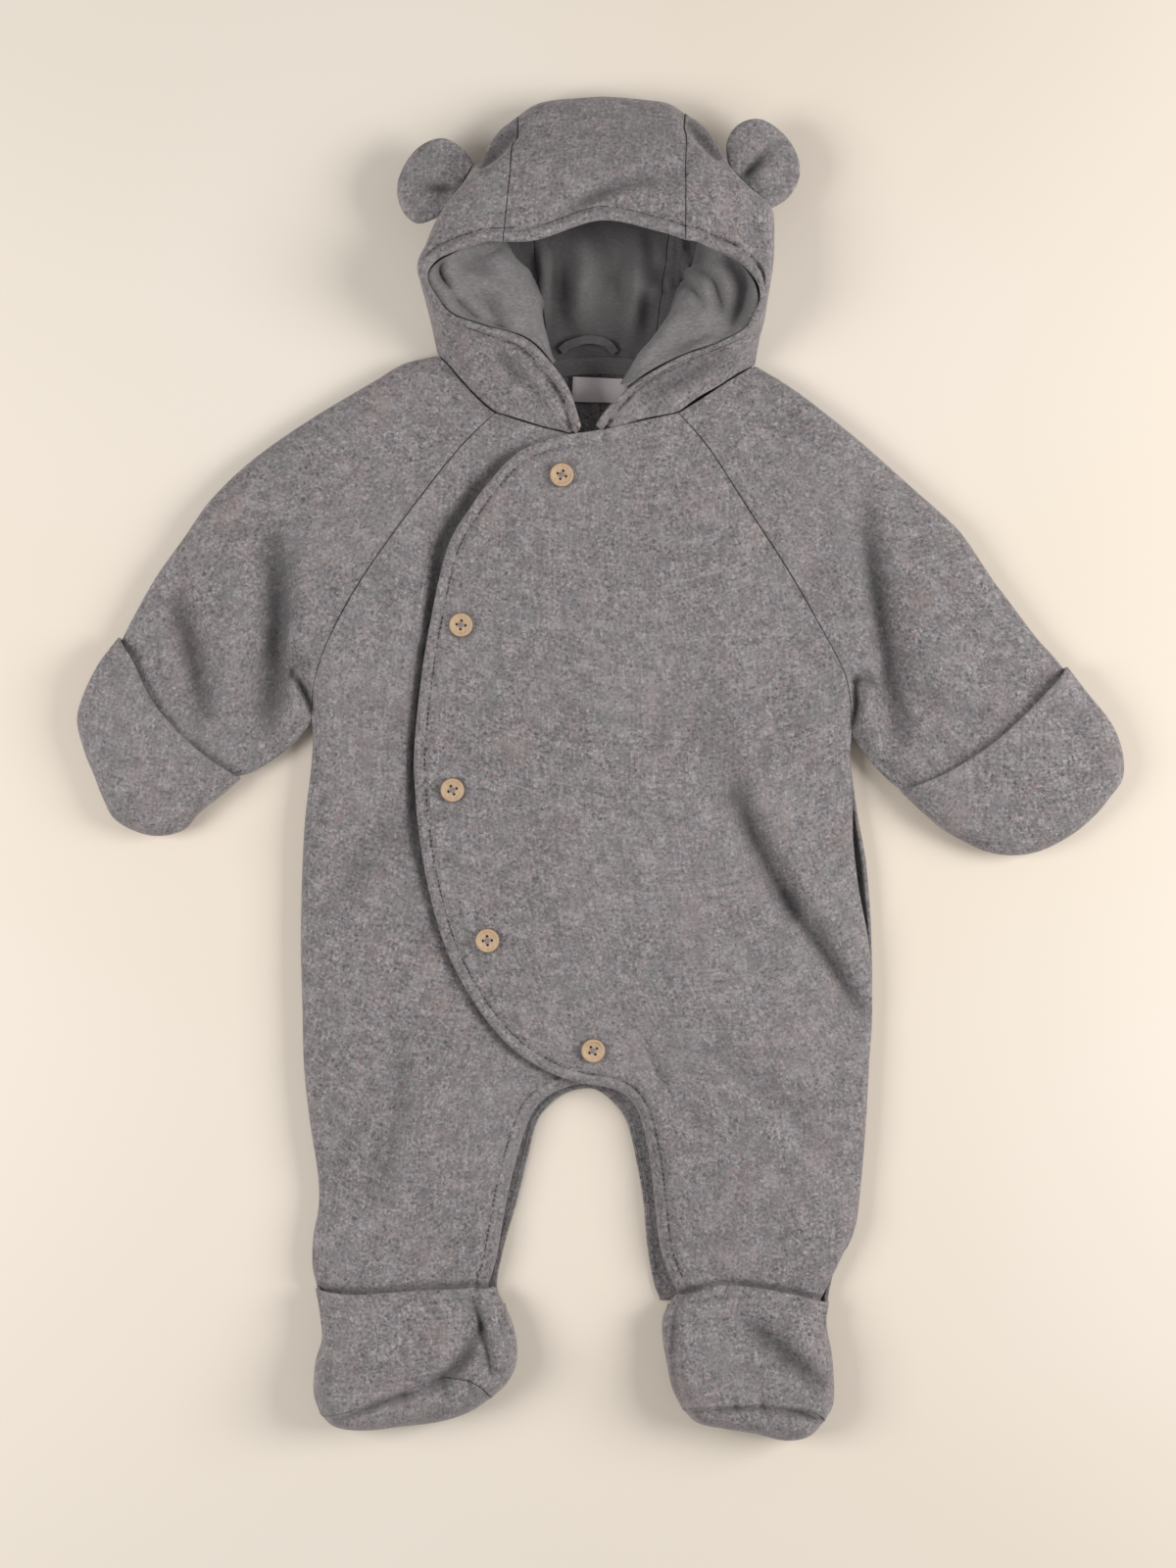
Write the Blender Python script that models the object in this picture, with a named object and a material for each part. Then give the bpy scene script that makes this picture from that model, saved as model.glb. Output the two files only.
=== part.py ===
"""Baby's hooded snowsuit in grey felted wool, laid out flat on its back.

X runs across the garment (+X is the wearer's left), Y from the feet to the hood, Z up from the
surface it lies on. The origin is the middle of its outline, at the surface. Every table and size
below is in millimetres. Each piece is one cut and sewn piece of cloth, a closed wall.
"""
import math

import bpy
import numpy as np
from mathutils import Vector

for old in list(bpy.data.objects):
    bpy.data.objects.remove(old, do_unlink=True)

MM = 0.001

# Driving dimensions
WALL = 2.4            # felted wool coating
LINING = 1.2          # jersey
SEAM = 0.3            # between two pieces along a seam
LAYER = 3.6           # from one cloth's face to that of the cloth lying on it
SIDE_EDGE = 9.0       # height of the side seams above the surface
FRONT_LEG_EDGE = 6.6  # height of the front's hem inside the leg
BACK_LEG_EDGE = 2.6   # height of the back's hem inside the leg
SIDE_ROUND = 17.0     # how far in from a side the front is still rounding over
BACK_ROUND = 10.0
LOFT = 16.0           # the fronts' height over the surface, near the sides
CROWN = 4.5           # and what they gain toward the middle
CROWN_REACH = 60.0
PIT_CLEAR = 0.8       # the armpit's last stitch on the body, and as far again on the sleeve
TUCK_LIFT = 3.4       # a sleeve end's height inside its mitten
BUTTON = 15.0
BUTTON_THICK = 3.0
BUTTON_HOLE = 1.7
HOLE_CIRCLE = 1.9     # from a button's middle to its holes

# Outline, counter-clockwise, so the cloth is on the left of each line: x, y
SLEEVE_TOP_RIGHT = [
    (-100, 253), (-121, 248), (-140, 237), (-180, 213), (-214, 189), (-239, 165), (-256, 141),
    (-273, 117), (-286, 94), (-293, 80), (-298, 66), (-302, 54)]
UNDERARM_RIGHT = [(-245, -19), (-234, -11), (-224, -5), (-213, -2), (-196, 9), (-184, 20)]
ARMPIT_RIGHT = (-178, 28)
SIDE_RIGHT = [
    (-176.5, 21), (-177, 9), (-178, -3), (-182, -39), (-184, -99), (-183, -147), (-182, -183),
    (-178, -219), (-173.5, -248), (-173, -268), (-176, -284), (-177, -300), (-175.5, -311)]
LEG_END_RIGHT = [(-171, -320), (-168, -331), (-167, -346)]
BACK_END_RIGHT = [(-174, -319), (-173, -327), (-172, -346)]
SIDE_LEFT_BACK = [
    (138, -346), (139, -327), (140, -319), (144, -304), (152, -291), (156, -279), (159, -255), (162, -219),
    (164, -183), (166, -147), (165.5, -99), (163, -63), (160.5, -46), (157, -27), (154, -5),
    (152.5, 10)]
SIDE_LEFT_FRONT = [
    (131, -346), (133, -333), (136, -322), (142, -310), (150, -293), (156, -279), (159, -255),
    (162, -219), (164, -183), (166, -147), (164, -108), (158, -75), (154.5, -46), (154, -20),
    (153, -3), (152.5, 10)]
ARMPIT_LEFT = (154, 20)
UNDERARM_LEFT = [(159, 13), (170, -1), (182, -12), (199, -22), (214, -34), (227, -41)]
SLEEVE_TOP_LEFT = [
    (296, 38), (290, 49), (284, 60), (276, 70), (266, 81), (248, 105), (239, 117), (223, 141),
    (212, 153), (185, 177), (158, 201), (128, 225), (111, 237), (94, 247)]
CROTCH_BACK = [
    (-60, -346), (-62, -327), (-64, -315), (-59, -291), (-52, -267), (-46, -243), (-40, -219), (-33, -208),
    (-22, -199.5), (-9, -196.5), (-1, -198.5), (8, -206), (16, -218), (22, -243), (26, -267),
    (28, -291), (32, -315), (36, -327), (38, -346)]
CROTCH_FRONT = [
    (-72, -346), (-71.5, -331), (-69, -316), (-64, -299), (-59, -270), (-53.5, -245), (-46, -220),
    (-39.5, -207), (-29, -198.5), (-14, -193.5), (0, -194), (10.5, -197), (18.5, -203), (25, -217),
    (30, -242), (33, -268), (36.5, -295), (44, -315), (50, -330), (52, -346)]

# Edges and seams inside the outline, from the neck down: x, y
RAGLAN_RIGHT = [(-65, 217), (-86, 196), (-103, 175), (-127, 143), (-151, 107), (-169, 72), (-176, 48)]
RAGLAN_LEFT = [(47, 217), (65, 196), (87, 162), (111, 125), (132, 89), (148, 59), (152, 42)]
RAGLAN_BACK_RIGHT = [(-74, 232), (-90, 205), (-115, 165), (-140, 120), (-162, 75), (-174, 45)]
RAGLAN_BACK_LEFT = [(70, 229), (84, 200), (105, 162), (125, 120), (143, 75), (151, 42)]
OVERLAP = [
    (-5, 205), (-29, 201), (-51, 192), (-68, 177), (-81, 160), (-95, 136), (-104, 88), (-110, 50),
    (-113.5, 14), (-113.5, -9), (-110, -45), (-103, -81), (-94, -110), (-82, -134), (-68, -155),
    (-52, -172), (-31, -185), (-13, -191.8)]
HIDDEN_EDGE = [
    (2, 203), (12, 199), (26, 189), (38, 173), (48, 155), (58, 130), (68, 86), (72, 50),
    (73, 14), (73, -9), (70, -45), (63, -81), (53, -110), (42, -134), (30, -155), (20, -172),
    (11, -184), (4, -191)]

# The neckline: each front's top edge from its free edge to the raglan, the sleeves' ends from
# the side to the front and to the back, and the back's top edge: x, y
NECK_RIGHT = [(2, 203), (-15, 203.5), (-31, 206.5), (-47, 211), (-65, 217)]
NECK_LEFT = [(-5, 205), (12, 208.5), (25, 211.5), (47, 217)]
NECK_FRONT_RIGHT = [(-100, 253), (-93, 246), (-86, 238), (-75, 226), (-65, 217)]
NECK_FRONT_LEFT = [(94, 247), (83, 240), (72, 233), (60, 225), (47, 217)]
NECK_SIDE_BACK_RIGHT = [(-100, 253), (-93, 245), (-84, 237), (-74, 232)]
NECK_SIDE_BACK_LEFT = [(94, 247), (86, 240), (78, 234), (70, 229)]
NECK_BACK = [(-74, 232), (-50, 239), (-25, 243), (0, 244), (25, 242.5), (50, 237), (70, 229)]

# Soft swells of the filled front: x, y, reach across, reach along, height
SWELLS = [
    (-5, -40, 110, 150, 4.0),
    (-195, 115, 60, 55, 5.0),
    (185, 110, 60, 55, 5.0),
    (-262, 30, 35, 35, 3.0),
    (245, 10, 40, 35, 3.0),
    (-122, -262, 45, 60, 3.0),
    (100, -262, 45, 60, 3.0),
]

# Largest folds, each a trough along a bent line: start, middle, end, half width, depth
FOLDS = [
    (79, -6, 106, -62, 160, -150, 9, 5.0),       # across the left hip
    (-125, -160, -124, -222, -141, -264, 9, 3.5),  # right thigh
    (-195, 139, -198, 95, -201, 26, 11, 6.0),    # right sleeve, upper
    (-264, 100, -249, 70, -243, 30, 11, 5.5),    # right sleeve, above the mitten
    (160, 165, 172, 110, 180, 30, 9, 5.5),       # left sleeve, upper
    (186, 43, 215, 38, 243, 30, 8, 3.0),         # left sleeve, above the mitten
    (40, -146, 43, -168, 47, -193, 5, 1.8),      # left of the crotch
    (-132, -21, -150, -50, -171, -83, 12, 2.0),  # right waist
]

# Hood sections from the right chin over the top to the left chin.
# rim x, y, z; widest point x, y, z; neckline x, y; wrap: 0 on the front, 1 under the back;
# ridge: how far from rim to widest point the hood stays high
HOOD = [
    (-13, 207, 24, -14, 205.5, 23, -15, 203.5, 0, 0.5),
    (-18, 227, 31, -27, 217, 26, -31, 206.5, 0, 0.5),
    (-30, 244, 36, -43, 229, 28, -47, 211, 0, 0.5),
    (-46, 259, 39, -61, 242, 28, -64, 218, 0, 0.5),
    (-70, 266, 41, -82, 252, 28, -80, 233, 0, 0.5),
    (-90, 273, 42, -97.5, 265, 25, -94, 247.5, 0.1, 0.5),
    (-101.5, 286, 42, -107, 286.5, 21, -100.5, 254.5, 0.6, 0.6),
    (-105, 296, 43, -111, 304, 21, -92, 246, 1, 0.7),
    (-99, 304, 44, -106, 319, 22, -82, 238, 1, 0.75),
    (-86, 310, 45, -99, 334, 24, -70, 235, 1, 0.8),
    (-76, 313, 46, -86, 351, 25, -58, 238, 1, 0.82),
    (-69, 315, 47, -77, 367, 24, -48, 241, 1, 0.78),
    (-63, 315, 47.5, -66, 384, 22, -39, 243, 1, 0.6),
    (-59, 315, 48, -51, 400, 22, -31, 244, 1, 0.55),
    (-38, 316, 49, -30, 409, 22, -19, 245, 1, 0.55),
    (-1, 327, 51, 1, 411.6, 22, 1, 246, 1, 0.5),
    (33, 321, 50, 33, 409.5, 22, 20, 245, 1, 0.55),
    (50, 316, 49, 51, 402, 22, 31, 243, 1, 0.55),
    (56, 315, 48.5, 62, 392, 22, 38, 242, 1, 0.6),
    (63, 312, 48, 73, 379, 23, 45, 240.5, 1, 0.7),
    (70, 309, 47, 79, 364, 25, 53, 238, 1, 0.8),
    (79, 305, 46, 90, 352, 25, 62, 234, 1, 0.8),
    (87, 299, 45, 103, 340, 24, 70, 231, 1, 0.78),
    (93, 291, 44, 105, 320, 22, 78, 236, 1, 0.7),
    (95, 282, 43, 104, 301, 21, 87, 243, 1, 0.65),
    (92.5, 273, 42, 101, 284, 21, 94.5, 248.5, 0.6, 0.6),
    (85, 263, 41, 95.5, 264, 25, 88, 244, 0.1, 0.5),
    (70, 256, 41, 82, 250, 28, 74, 235.5, 0, 0.5),
    (50, 249, 39, 60, 237, 28, 60, 226.5, 0, 0.5),
    (31, 240, 37, 38, 227, 27, 42, 216.5, 0, 0.5),
    (15, 229, 33, 20, 220, 26, 25, 212, 0, 0.5),
    (3, 217, 28, 6, 213, 24, 12, 208.5, 0, 0.5),
    (-3, 207.5, 25, -1, 207, 23, 3, 206.5, 0, 0.5),
]
HOOD_CUTS = (0, 13, 17, 32)      # rows of HOOD where its three panels meet
HOOD_COLUMNS = (16, 8, 18)       # and their columns of quads
HOOD_FRACTIONS = np.array([0, 0.04, 0.1, 0.19, 0.3, 0.4, 0.48, 0.56, 0.64, 0.74, 0.87, 1])
FLOOR_INSET = 13.0               # from the widest point in to where the hood rests

# The lining's own sections, by row of HOOD: share of its own line (the rest follows the wool),
# then the fold edge x, y, z, the foot of the wall x, y, z and the neck end x, y, z
HOOD_LINING = [
    (0, 1.0, -12, 208, 19, -11, 209, 13, -10, 212, 12),
    (1, 1.0, -15, 229, 27, -14, 230, 16, -15, 236, 12),
    (2, 1.0, -24, 246, 32, -22, 247, 17, -22, 249, 8),
    (3, 1.0, -34, 262, 34, -31, 260, 13, -29, 252, 7),
    (4, 1.0, -40, 275, 33, -36, 270, 10, -31.5, 253, 6.6),
    (5, 1.0, -44, 284, 32, -38, 279, 8, -32, 254, 6),
    (6, 1.0, -47, 294, 31, -40, 289, 7, -32.5, 254, 5.4),
    (7, 1.0, -50, 304, 30, -41, 299, 6, -33, 253, 5),
    (8, 0.9, -53, 312, 31, -42, 308, 5.4, -33, 252, 5),
    (9, 0.75, -56, 320, 33, -42, 318, 5, -33, 251, 4.8),
    (10, 0.5, -58, 330, 35, -42, 330, 4.6, -33, 250, 4.6),
    (11, 0.3, -58, 340, 36, -42, 340, 4.6, -33, 249, 4.6),
    (12, 0.12, -58, 345, 38, -42, 350, 4.6, -33, 248, 4.6),
    (13, 0.0, -58, 350, 40, -42, 360, 4.6, -33, 247, 4.6),
    (17, 0.0, 55, 350, 40, 42, 360, 4.6, 33, 247, 4.6),
    (18, 0.12, 58, 345, 38, 44, 350, 4.6, 33, 248, 4.6),
    (19, 0.3, 62, 340, 36, 46, 340, 4.6, 33, 249, 4.6),
    (20, 0.5, 65, 330, 34, 49, 326, 4.6, 33, 250, 4.8),
    (21, 0.75, 66, 320, 32, 51, 316, 4.8, 33, 251, 5),
    (22, 0.9, 66, 311, 30, 52, 307, 5.2, 33, 251.5, 5),
    (23, 1.0, 63, 302, 29, 50, 298, 6, 33, 252, 6),
    (24, 1.0, 58, 292, 29, 47, 288, 8, 32.5, 252, 7.2),
    (25, 1.0, 52, 284, 30, 43, 280, 9, 32, 252, 7.6),
    (26, 1.0, 45, 276, 31, 39, 272, 10, 30, 251, 7.8),
    (27, 1.0, 37, 266, 31, 32, 262, 11, 26, 249, 8),
    (28, 1.0, 29, 255, 31, 25, 253, 13, 21, 246, 8),
    (29, 1.0, 18, 242, 30, 15, 242, 17, 13, 241, 9),
    (30, 1.0, 8, 230, 27, 6, 231, 18, 4, 233, 12),
    (31, 1.0, -1, 219, 23, -2, 220, 13, -3, 222, 12),
    (32, 1.0, -4, 209, 19, -4, 210, 12, -5, 211, 12),
]
LINING_ENDS = (2.0, 30.0)        # rows of HOOD where the lining starts and ends

# Mittens: the outline from the sleeve's top round the tip to the underarm, then the turned
# edge across the sleeve's front: x, y
MITTEN_RIGHT = [
    (-296.5, 82), (-306, 69), (-312, 57), (-318.5, 42), (-321, 28), (-316, 9), (-311, -3),
    (-306, -16), (-298, -31), (-282, -39.5), (-268, -41), (-255, -37), (-246, -27), (-232, -16),
    (-219, -8)]
MITTEN_RIGHT_TIP = (7, 10)      # rows of the outline between which it closes
MITTEN_RIGHT_EDGE = [(-296.5, 82), (-286, 68), (-278, 51), (-268, 35), (-247, 13), (-219, -8)]
MITTEN_LEFT = [
    (287, 64), (298, 47), (309, 33), (316, 21), (320, 6), (319, -7), (312, -17), (303, -28),
    (289, -40), (270, -50), (252, -53), (234, -50), (212, -39), (197, -27), (181, -15)]
MITTEN_LEFT_TIP = (7, 10)
MITTEN_LEFT_EDGE = [(287, 64), (262, 38), (238, 16), (214, 0), (195, -9), (181, -15)]
MITTEN_ROUND = 15.0
MITTEN_LOFT = 23.0

# Feet: outer side, toe and inner side of the outline, flap edge and the seam over the toe: x, y
FOOT_RIGHT = {
    "outer": [(-175, -318), (-173, -329), (-171, -348), (-175, -363), (-176, -381), (-172, -394)],
    "toe": [(-172, -394), (-163, -402), (-146, -404.5), (-122, -402), (-98, -399), (-80, -393),
            (-66, -384)],
    "inner": [(-65, -317), (-57, -333), (-52, -349), (-52, -364), (-57, -375), (-66, -384)],
    "flap": [(-175, -318), (-150, -319.5), (-122, -318), (-90, -316), (-65, -317)],
    "seam": [(-172, -394), (-160, -390.5), (-147, -387), (-127, -380), (-104, -371), (-86, -369),
             (-73, -374), (-66, -384)],
}
FOOT_LEFT = {
    "outer": [(139.5, -326), (138, -340), (141, -357), (142.5, -375), (142, -388), (137, -398)],
    "toe": [(137, -398), (127, -408), (112, -410.5), (94, -406.5), (76, -403.5), (59, -400),
            (49, -391)],
    "inner": [(45, -322), (38, -335), (37.5, -348), (40, -363), (43, -378), (49, -391)],
    "flap": [(139.5, -326), (119, -320), (97, -316), (72, -314), (45, -322)],
    "seam": [(137, -398), (131, -391), (120, -388), (103, -386), (84, -385.5), (68, -386),
             (56, -387.5), (49, -391)],
}
FOOT_ROUND = 16.0
FOOT_LOFT = 24.0
INSTEP_RISE = 9.0
INSTEP_RUN = 45.0
SOLE_START = -328.0

# Ears: rows of HOOD between which each is sewn on, and its outline from the lower end: x, y
EAR_RIGHT = {"rows": (9.0, 11.0),
             "rim": [(-112, 331), (-121, 339), (-124, 352), (-120, 366), (-110, 378),
                     (-96, 382.5), (-84, 376)]}
EAR_LEFT = {"rows": (22.0, 19.8),
            "rim": [(113, 346), (120, 358), (119, 372), (110, 386), (96, 394), (83, 391),
                    (76, 380)]}
EAR_THICK = 5.2
EAR_HEIGHT = 30.0
EAR_CLEAR = 0.7       # from the hood's side to the ear's base
EAR_DROOP = 2.0       # from the base down to the rim

BUTTONS = [(-24, 178), (-85, 87), (-90, -13), (-69, -104), (-5, -171)]

# Fractions along a raglan seam and across a panel; they are closer where the cloth bends
RAGLAN_STEPS = np.array([0, 0.12, 0.25, 0.38, 0.51, 0.63, 0.75, 0.85, 0.93, 0.98, 1])
NECK_STEPS = np.array([0, 0.06, 0.2, 0.42, 0.7, 1])
ACROSS = np.array([0, 0.012, 0.04, 0.09, 0.17, 0.29, 0.43, 0.58, 0.73, 0.86, 0.94, 0.985, 1])
ROWS_DOWN = np.array([
    -4, -32, -62, -92, -120, -143, -160, -172, -182, -189, -194.5, -200, -206, -216, -231, -250,
    -272, -296, -318, -332, -346.0])


# ---------------------------------------------------------------- curves and distances

SUB = 8


def spline(rows):
    """A smooth curve through the rows, with SUB steps from each row to the next."""
    pts = np.array(rows, float)
    ext = np.vstack([2 * pts[0] - pts[1], pts, 2 * pts[-1] - pts[-2]])
    t = np.linspace(0, 1, SUB, endpoint=False)[:, None]
    out = []
    for a, b, c, d in zip(ext[:-3], ext[1:-2], ext[2:-1], ext[3:]):
        out.append(0.5 * (2 * b + (c - a) * t + (2 * a - 5 * b + 4 * c - d) * t ** 2
                          + (3 * b - a - 3 * c + d) * t ** 3))
    return np.vstack(out + [pts[-1:]])


def at_rows(table, index):
    """Smoothly interpolated rows of a table at fractional row numbers."""
    fine = spline(table)
    grid = np.arange(len(fine)) / SUB
    return np.column_stack([np.interp(index, grid, col) for col in fine.T])


def along(line, fractions):
    """Points at fractions of a line's length."""
    step = np.linalg.norm(np.diff(line, axis=0), axis=1)
    total = np.concatenate([[0], np.cumsum(step)])
    return np.column_stack([np.interp(np.array(fractions) * total[-1], total, col) for col in line.T])


def at_height(line, y):
    """Points of a line that runs steadily down the garment, at the given y."""
    order = np.argsort(line[:, 1])
    x = np.interp(y, line[order, 1], line[order, 0])
    return np.column_stack([x, y])


def nearest(p, edges, shift=0.0):
    """Distance to the nearest edge line, the direction in from it, its height and rounding."""
    best = np.full(len(p), 1e9)
    inward = np.zeros((len(p), 2))
    height = np.zeros(len(p))
    for line, edge_z in edges:
        a = line[:-1]
        ab = line[1:] - a
        length = np.linalg.norm(ab, axis=1)
        t = np.clip(((p[:, None] - a) * ab).sum(2) / length ** 2, 0, 1)
        away = p[:, None] - (a + t[..., None] * ab)
        dist = np.linalg.norm(away, axis=2)
        k = dist.argmin(1)
        row = np.arange(len(p))
        d = dist[row, k]
        left = np.column_stack([-ab[k, 1], ab[k, 0]]) / length[k, None]
        out = away[row, k] / np.maximum(d, 1e-9)[:, None]
        inside = (away[row, k] * left).sum(1) >= 0
        direction = np.where((d < 0.05)[:, None], left, np.where(inside[:, None], out, -out))
        nearer = d < best
        best = np.where(nearer, d, best)
        inward = np.where(nearer[:, None], direction, inward)
        height = np.where(nearer, edge_z + shift, height)
    return best, inward, height


def bend_over(d, radius):
    """A quarter ellipse from 0 at the edge to 1 at the radius, and its slope."""
    q = np.clip(d / radius, 1e-5, 1)
    bend = np.sqrt(1 - (1 - q) ** 2)
    return bend, (1 - q) / bend / radius


# ---------------------------------------------------------------- the two lofted surfaces

right_line = spline(UNDERARM_RIGHT + [ARMPIT_RIGHT] + SIDE_RIGHT + LEG_END_RIGHT)
right_back_line = spline(UNDERARM_RIGHT + [ARMPIT_RIGHT] + SIDE_RIGHT + BACK_END_RIGHT)
left_line = spline(SIDE_LEFT_FRONT + [ARMPIT_LEFT] + UNDERARM_LEFT)
left_back_line = spline(SIDE_LEFT_BACK + [ARMPIT_LEFT] + UNDERARM_LEFT)
sleeve_top_right = spline(SLEEVE_TOP_RIGHT)
sleeve_top_left = spline(SLEEVE_TOP_LEFT)
crotch_front = spline(CROTCH_FRONT)
crotch_back = spline(CROTCH_BACK)
pit_right = len(UNDERARM_RIGHT) * SUB
pit_left_front = len(SIDE_LEFT_FRONT) * SUB
pit_left_back = len(SIDE_LEFT_BACK) * SUB

FRONT_EDGES = [(sleeve_top_right, SIDE_EDGE), (right_line, SIDE_EDGE),
               (crotch_front, FRONT_LEG_EDGE), (left_line, SIDE_EDGE), (sleeve_top_left, SIDE_EDGE)]
BACK_EDGES = [(sleeve_top_right, SIDE_EDGE), (right_back_line, SIDE_EDGE),
              (crotch_back, BACK_LEG_EDGE), (left_back_line, SIDE_EDGE),
              (sleeve_top_left, SIDE_EDGE)]


def fold_depth(p):
    """Sum of the troughs at the points: each is deepest midway and fades toward its ends."""
    total = np.zeros(len(p))
    for x0, y0, x1, y1, x2, y2, width, depth in FOLDS:
        line = spline([(x0, y0), (x1, y1), (x2, y2)])
        gap = np.linalg.norm(p[:, None] - line, axis=2)
        k = gap.argmin(1)
        t = k / (len(line) - 1)
        total += depth * np.exp(-(gap[np.arange(len(p)), k] / width) ** 2) * np.sqrt(
            np.clip(4 * t * (1 - t), 0, 1) + 0.04)
    return total


def rise(p):
    """Height of the filled front before it rounds down to an edge."""
    h = np.full(len(p), LOFT)
    for x, y, reach_x, reach_y, up in SWELLS:
        h += up * np.exp(-((p[:, 0] - x) / reach_x) ** 2 - ((p[:, 1] - y) / reach_y) ** 2)
    return h - fold_depth(p)


def front(p, shift=SEAM / 2, edges=None, radius=SIDE_ROUND, rise_fn=rise):
    """Face of the front at plan points, and its normals."""
    d, inward, edge = nearest(p, edges or FRONT_EDGES, shift)
    bend, slope = bend_over(d, radius)
    crown = CROWN * (1 - np.exp(-(d / CROWN_REACH) ** 2))
    crown_slope = CROWN * 2 * d / CROWN_REACH ** 2 * np.exp(-(d / CROWN_REACH) ** 2)
    h = rise_fn(p) + crown
    e = 0.5
    grad = np.column_stack([rise_fn(p + (e, 0)) - rise_fn(p - (e, 0)),
                            rise_fn(p + (0, e)) - rise_fn(p - (0, e))])
    grad = grad * bend[:, None] + inward * (crown_slope * bend + (h - edge) * slope)[:, None]
    normal = np.column_stack([-grad, np.ones(len(p))])
    z = edge + (h - edge) * bend
    return np.column_stack([p, z]), normal / np.linalg.norm(normal, axis=1)[:, None]


def under(p, shift=-SEAM / 2, edges=None, radius=BACK_ROUND):
    """Underside of the back at plan points: flat on the surface, turned up at its edges."""
    d, inward, edge = nearest(p, edges or BACK_EDGES, shift)
    bend, slope = bend_over(d, radius)
    normal = np.column_stack([-inward * (edge * slope)[:, None], -np.ones(len(p))])
    return np.column_stack([p, edge * (1 - bend)]), normal / np.linalg.norm(normal, axis=1)[:, None]


def smooth_step(t):
    t = np.clip(t, 0, 1)
    return t * t * (3 - 2 * t)


# ---------------------------------------------------------------- solids

def material(name, colour, roughness=0.95, metallic=0.0):
    mat = bpy.data.materials.new(name)
    mat.use_nodes = True
    bsdf = mat.node_tree.nodes["Principled BSDF"]
    bsdf.inputs["Base Color"].default_value = (*colour, 1)
    bsdf.inputs["Roughness"].default_value = roughness
    bsdf.inputs["Metallic"].default_value = metallic
    return mat


WOOL = material("grey felted wool", (0.262, 0.242, 0.246))
JERSEY = material("grey jersey", (0.19, 0.176, 0.178))
SATIN = material("pale label tape", (0.32, 0.27, 0.29), 0.6)
WOOD = material("pale wood", (0.56, 0.37, 0.19), 0.55)


def new_object(name, points, faces, mat, sharp):
    """An object from points in millimetres, smooth but for edges over the sharp angle."""
    mesh = bpy.data.meshes.new(name)
    mesh.from_pydata((np.array(points) * MM).tolist(), [], faces)
    mesh.materials.append(mat)
    mesh.shade_smooth()
    mesh.set_sharp_from_angle(angle=math.radians(sharp))
    obj = bpy.data.objects.new(name, mesh)
    bpy.context.collection.objects.link(obj)
    return obj


def grid_faces(rows, cols, wrap):
    """Triangles of a grid of rows x cols points, closed round the columns if wrap is set."""
    index = np.arange(rows * cols).reshape(rows, cols)
    if wrap:
        index = np.column_stack([index, index[:, 0]])
    a, b, c, d = index[:-1, :-1], index[:-1, 1:], index[1:, 1:], index[1:, :-1]
    return np.stack([np.stack([a, b, c], 2), np.stack([a, c, d], 2)], 2).reshape(-1, 3)


def turns(points, faces):
    """Cross product of each triangle's sides: its normal, as long as twice its area."""
    a, b, c = points[faces[:, 0]], points[faces[:, 1]], points[faces[:, 2]]
    return np.cross(b - a, c - a)


RIM_SPLIT = np.array([0.31, 0.57, 0.76])   # any fixed direction: both rims of a seam split alike


def cloth(name, patches, thick, mat):
    """A closed wall: the outer grids, the same points moved in by the thickness, and the rims.

    A patch is a grid of outer points, its normals and whether it closes on itself. Patches that
    share points are joined along them.
    """
    points, normals, faces, seen = [], [], [], {}
    for outer, normal, wrap in patches:
        rows, cols = outer.shape[:2]
        ids = []
        for p, n in zip(outer.reshape(-1, 3), normal.reshape(-1, 3)):
            key = tuple(np.round(p * 200).astype(int))
            if key not in seen:
                seen[key] = len(points)
                points.append(p)
                normals.append(n)
            ids.append(seen[key])
        ids = np.array(ids)
        tris = ids[grid_faces(rows, cols, wrap)]
        if (turns(np.array(points), tris) * np.array(normals)[tris[:, 0]]).sum() < 0:
            tris = tris[:, ::-1]
        faces += [ring for ring in tris.tolist() if len(set(ring)) == 3]
    outer = np.array(points)
    inner = outer - np.array(normals) * thick
    count = len(outer)
    sides = {}
    for ring in faces:
        for a, b in zip(ring, ring[1:] + ring[:1]):
            sides[(a, b)] = True
    rims = []
    for a, b in sides:
        if (b, a) not in sides:
            ring = [b, a, a + count, b + count]
            if (outer[a] - outer[b]) @ RIM_SPLIT > 0:
                rims += [ring[:3], [ring[0], ring[2], ring[3]]]
            else:
                rims += [ring[1:], [ring[0], ring[1], ring[3]]]
    inside = [[v + count for v in reversed(ring)] for ring in faces]
    new_object(name, np.vstack([outer, inner]), faces + inside + rims, mat, 50)


def panel(left, right, across):
    """Plan points between two side lines with the same number of rows."""
    return left[:, None] * (1 - across[:, None]) + right[:, None] * across[:, None]


def shaped(plan, surface, **kw):
    """A plan grid raised onto a surface: points and normals as grids."""
    pts, nrm = surface(plan.reshape(-1, 2), **kw)
    return pts.reshape(*plan.shape[:2], 3), nrm.reshape(*plan.shape[:2], 3)


def step_in(line, toward, distance):
    """A seam line moved square to itself by a distance, to the side of the given points."""
    tangent = np.gradient(line, axis=0)
    square = np.column_stack([-tangent[:, 1], tangent[:, 0]])
    square /= np.linalg.norm(square, axis=1)[:, None]
    side = np.sign((square * (toward - line)).sum(1).sum())
    return line + square * side * distance


# ---------------------------------------------------------------- back and fronts

def raglan_points(rows, pit):
    """Points down a raglan seam from the neckline to the armpit."""
    return along(spline(rows + [pit]), RAGLAN_STEPS)


raglan_right = raglan_points(RAGLAN_RIGHT, ARMPIT_RIGHT)
raglan_left = raglan_points(RAGLAN_LEFT, ARMPIT_LEFT)
raglan_back_right = raglan_points(RAGLAN_BACK_RIGHT, ARMPIT_RIGHT)
raglan_back_left = raglan_points(RAGLAN_BACK_LEFT, ARMPIT_LEFT)

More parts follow.
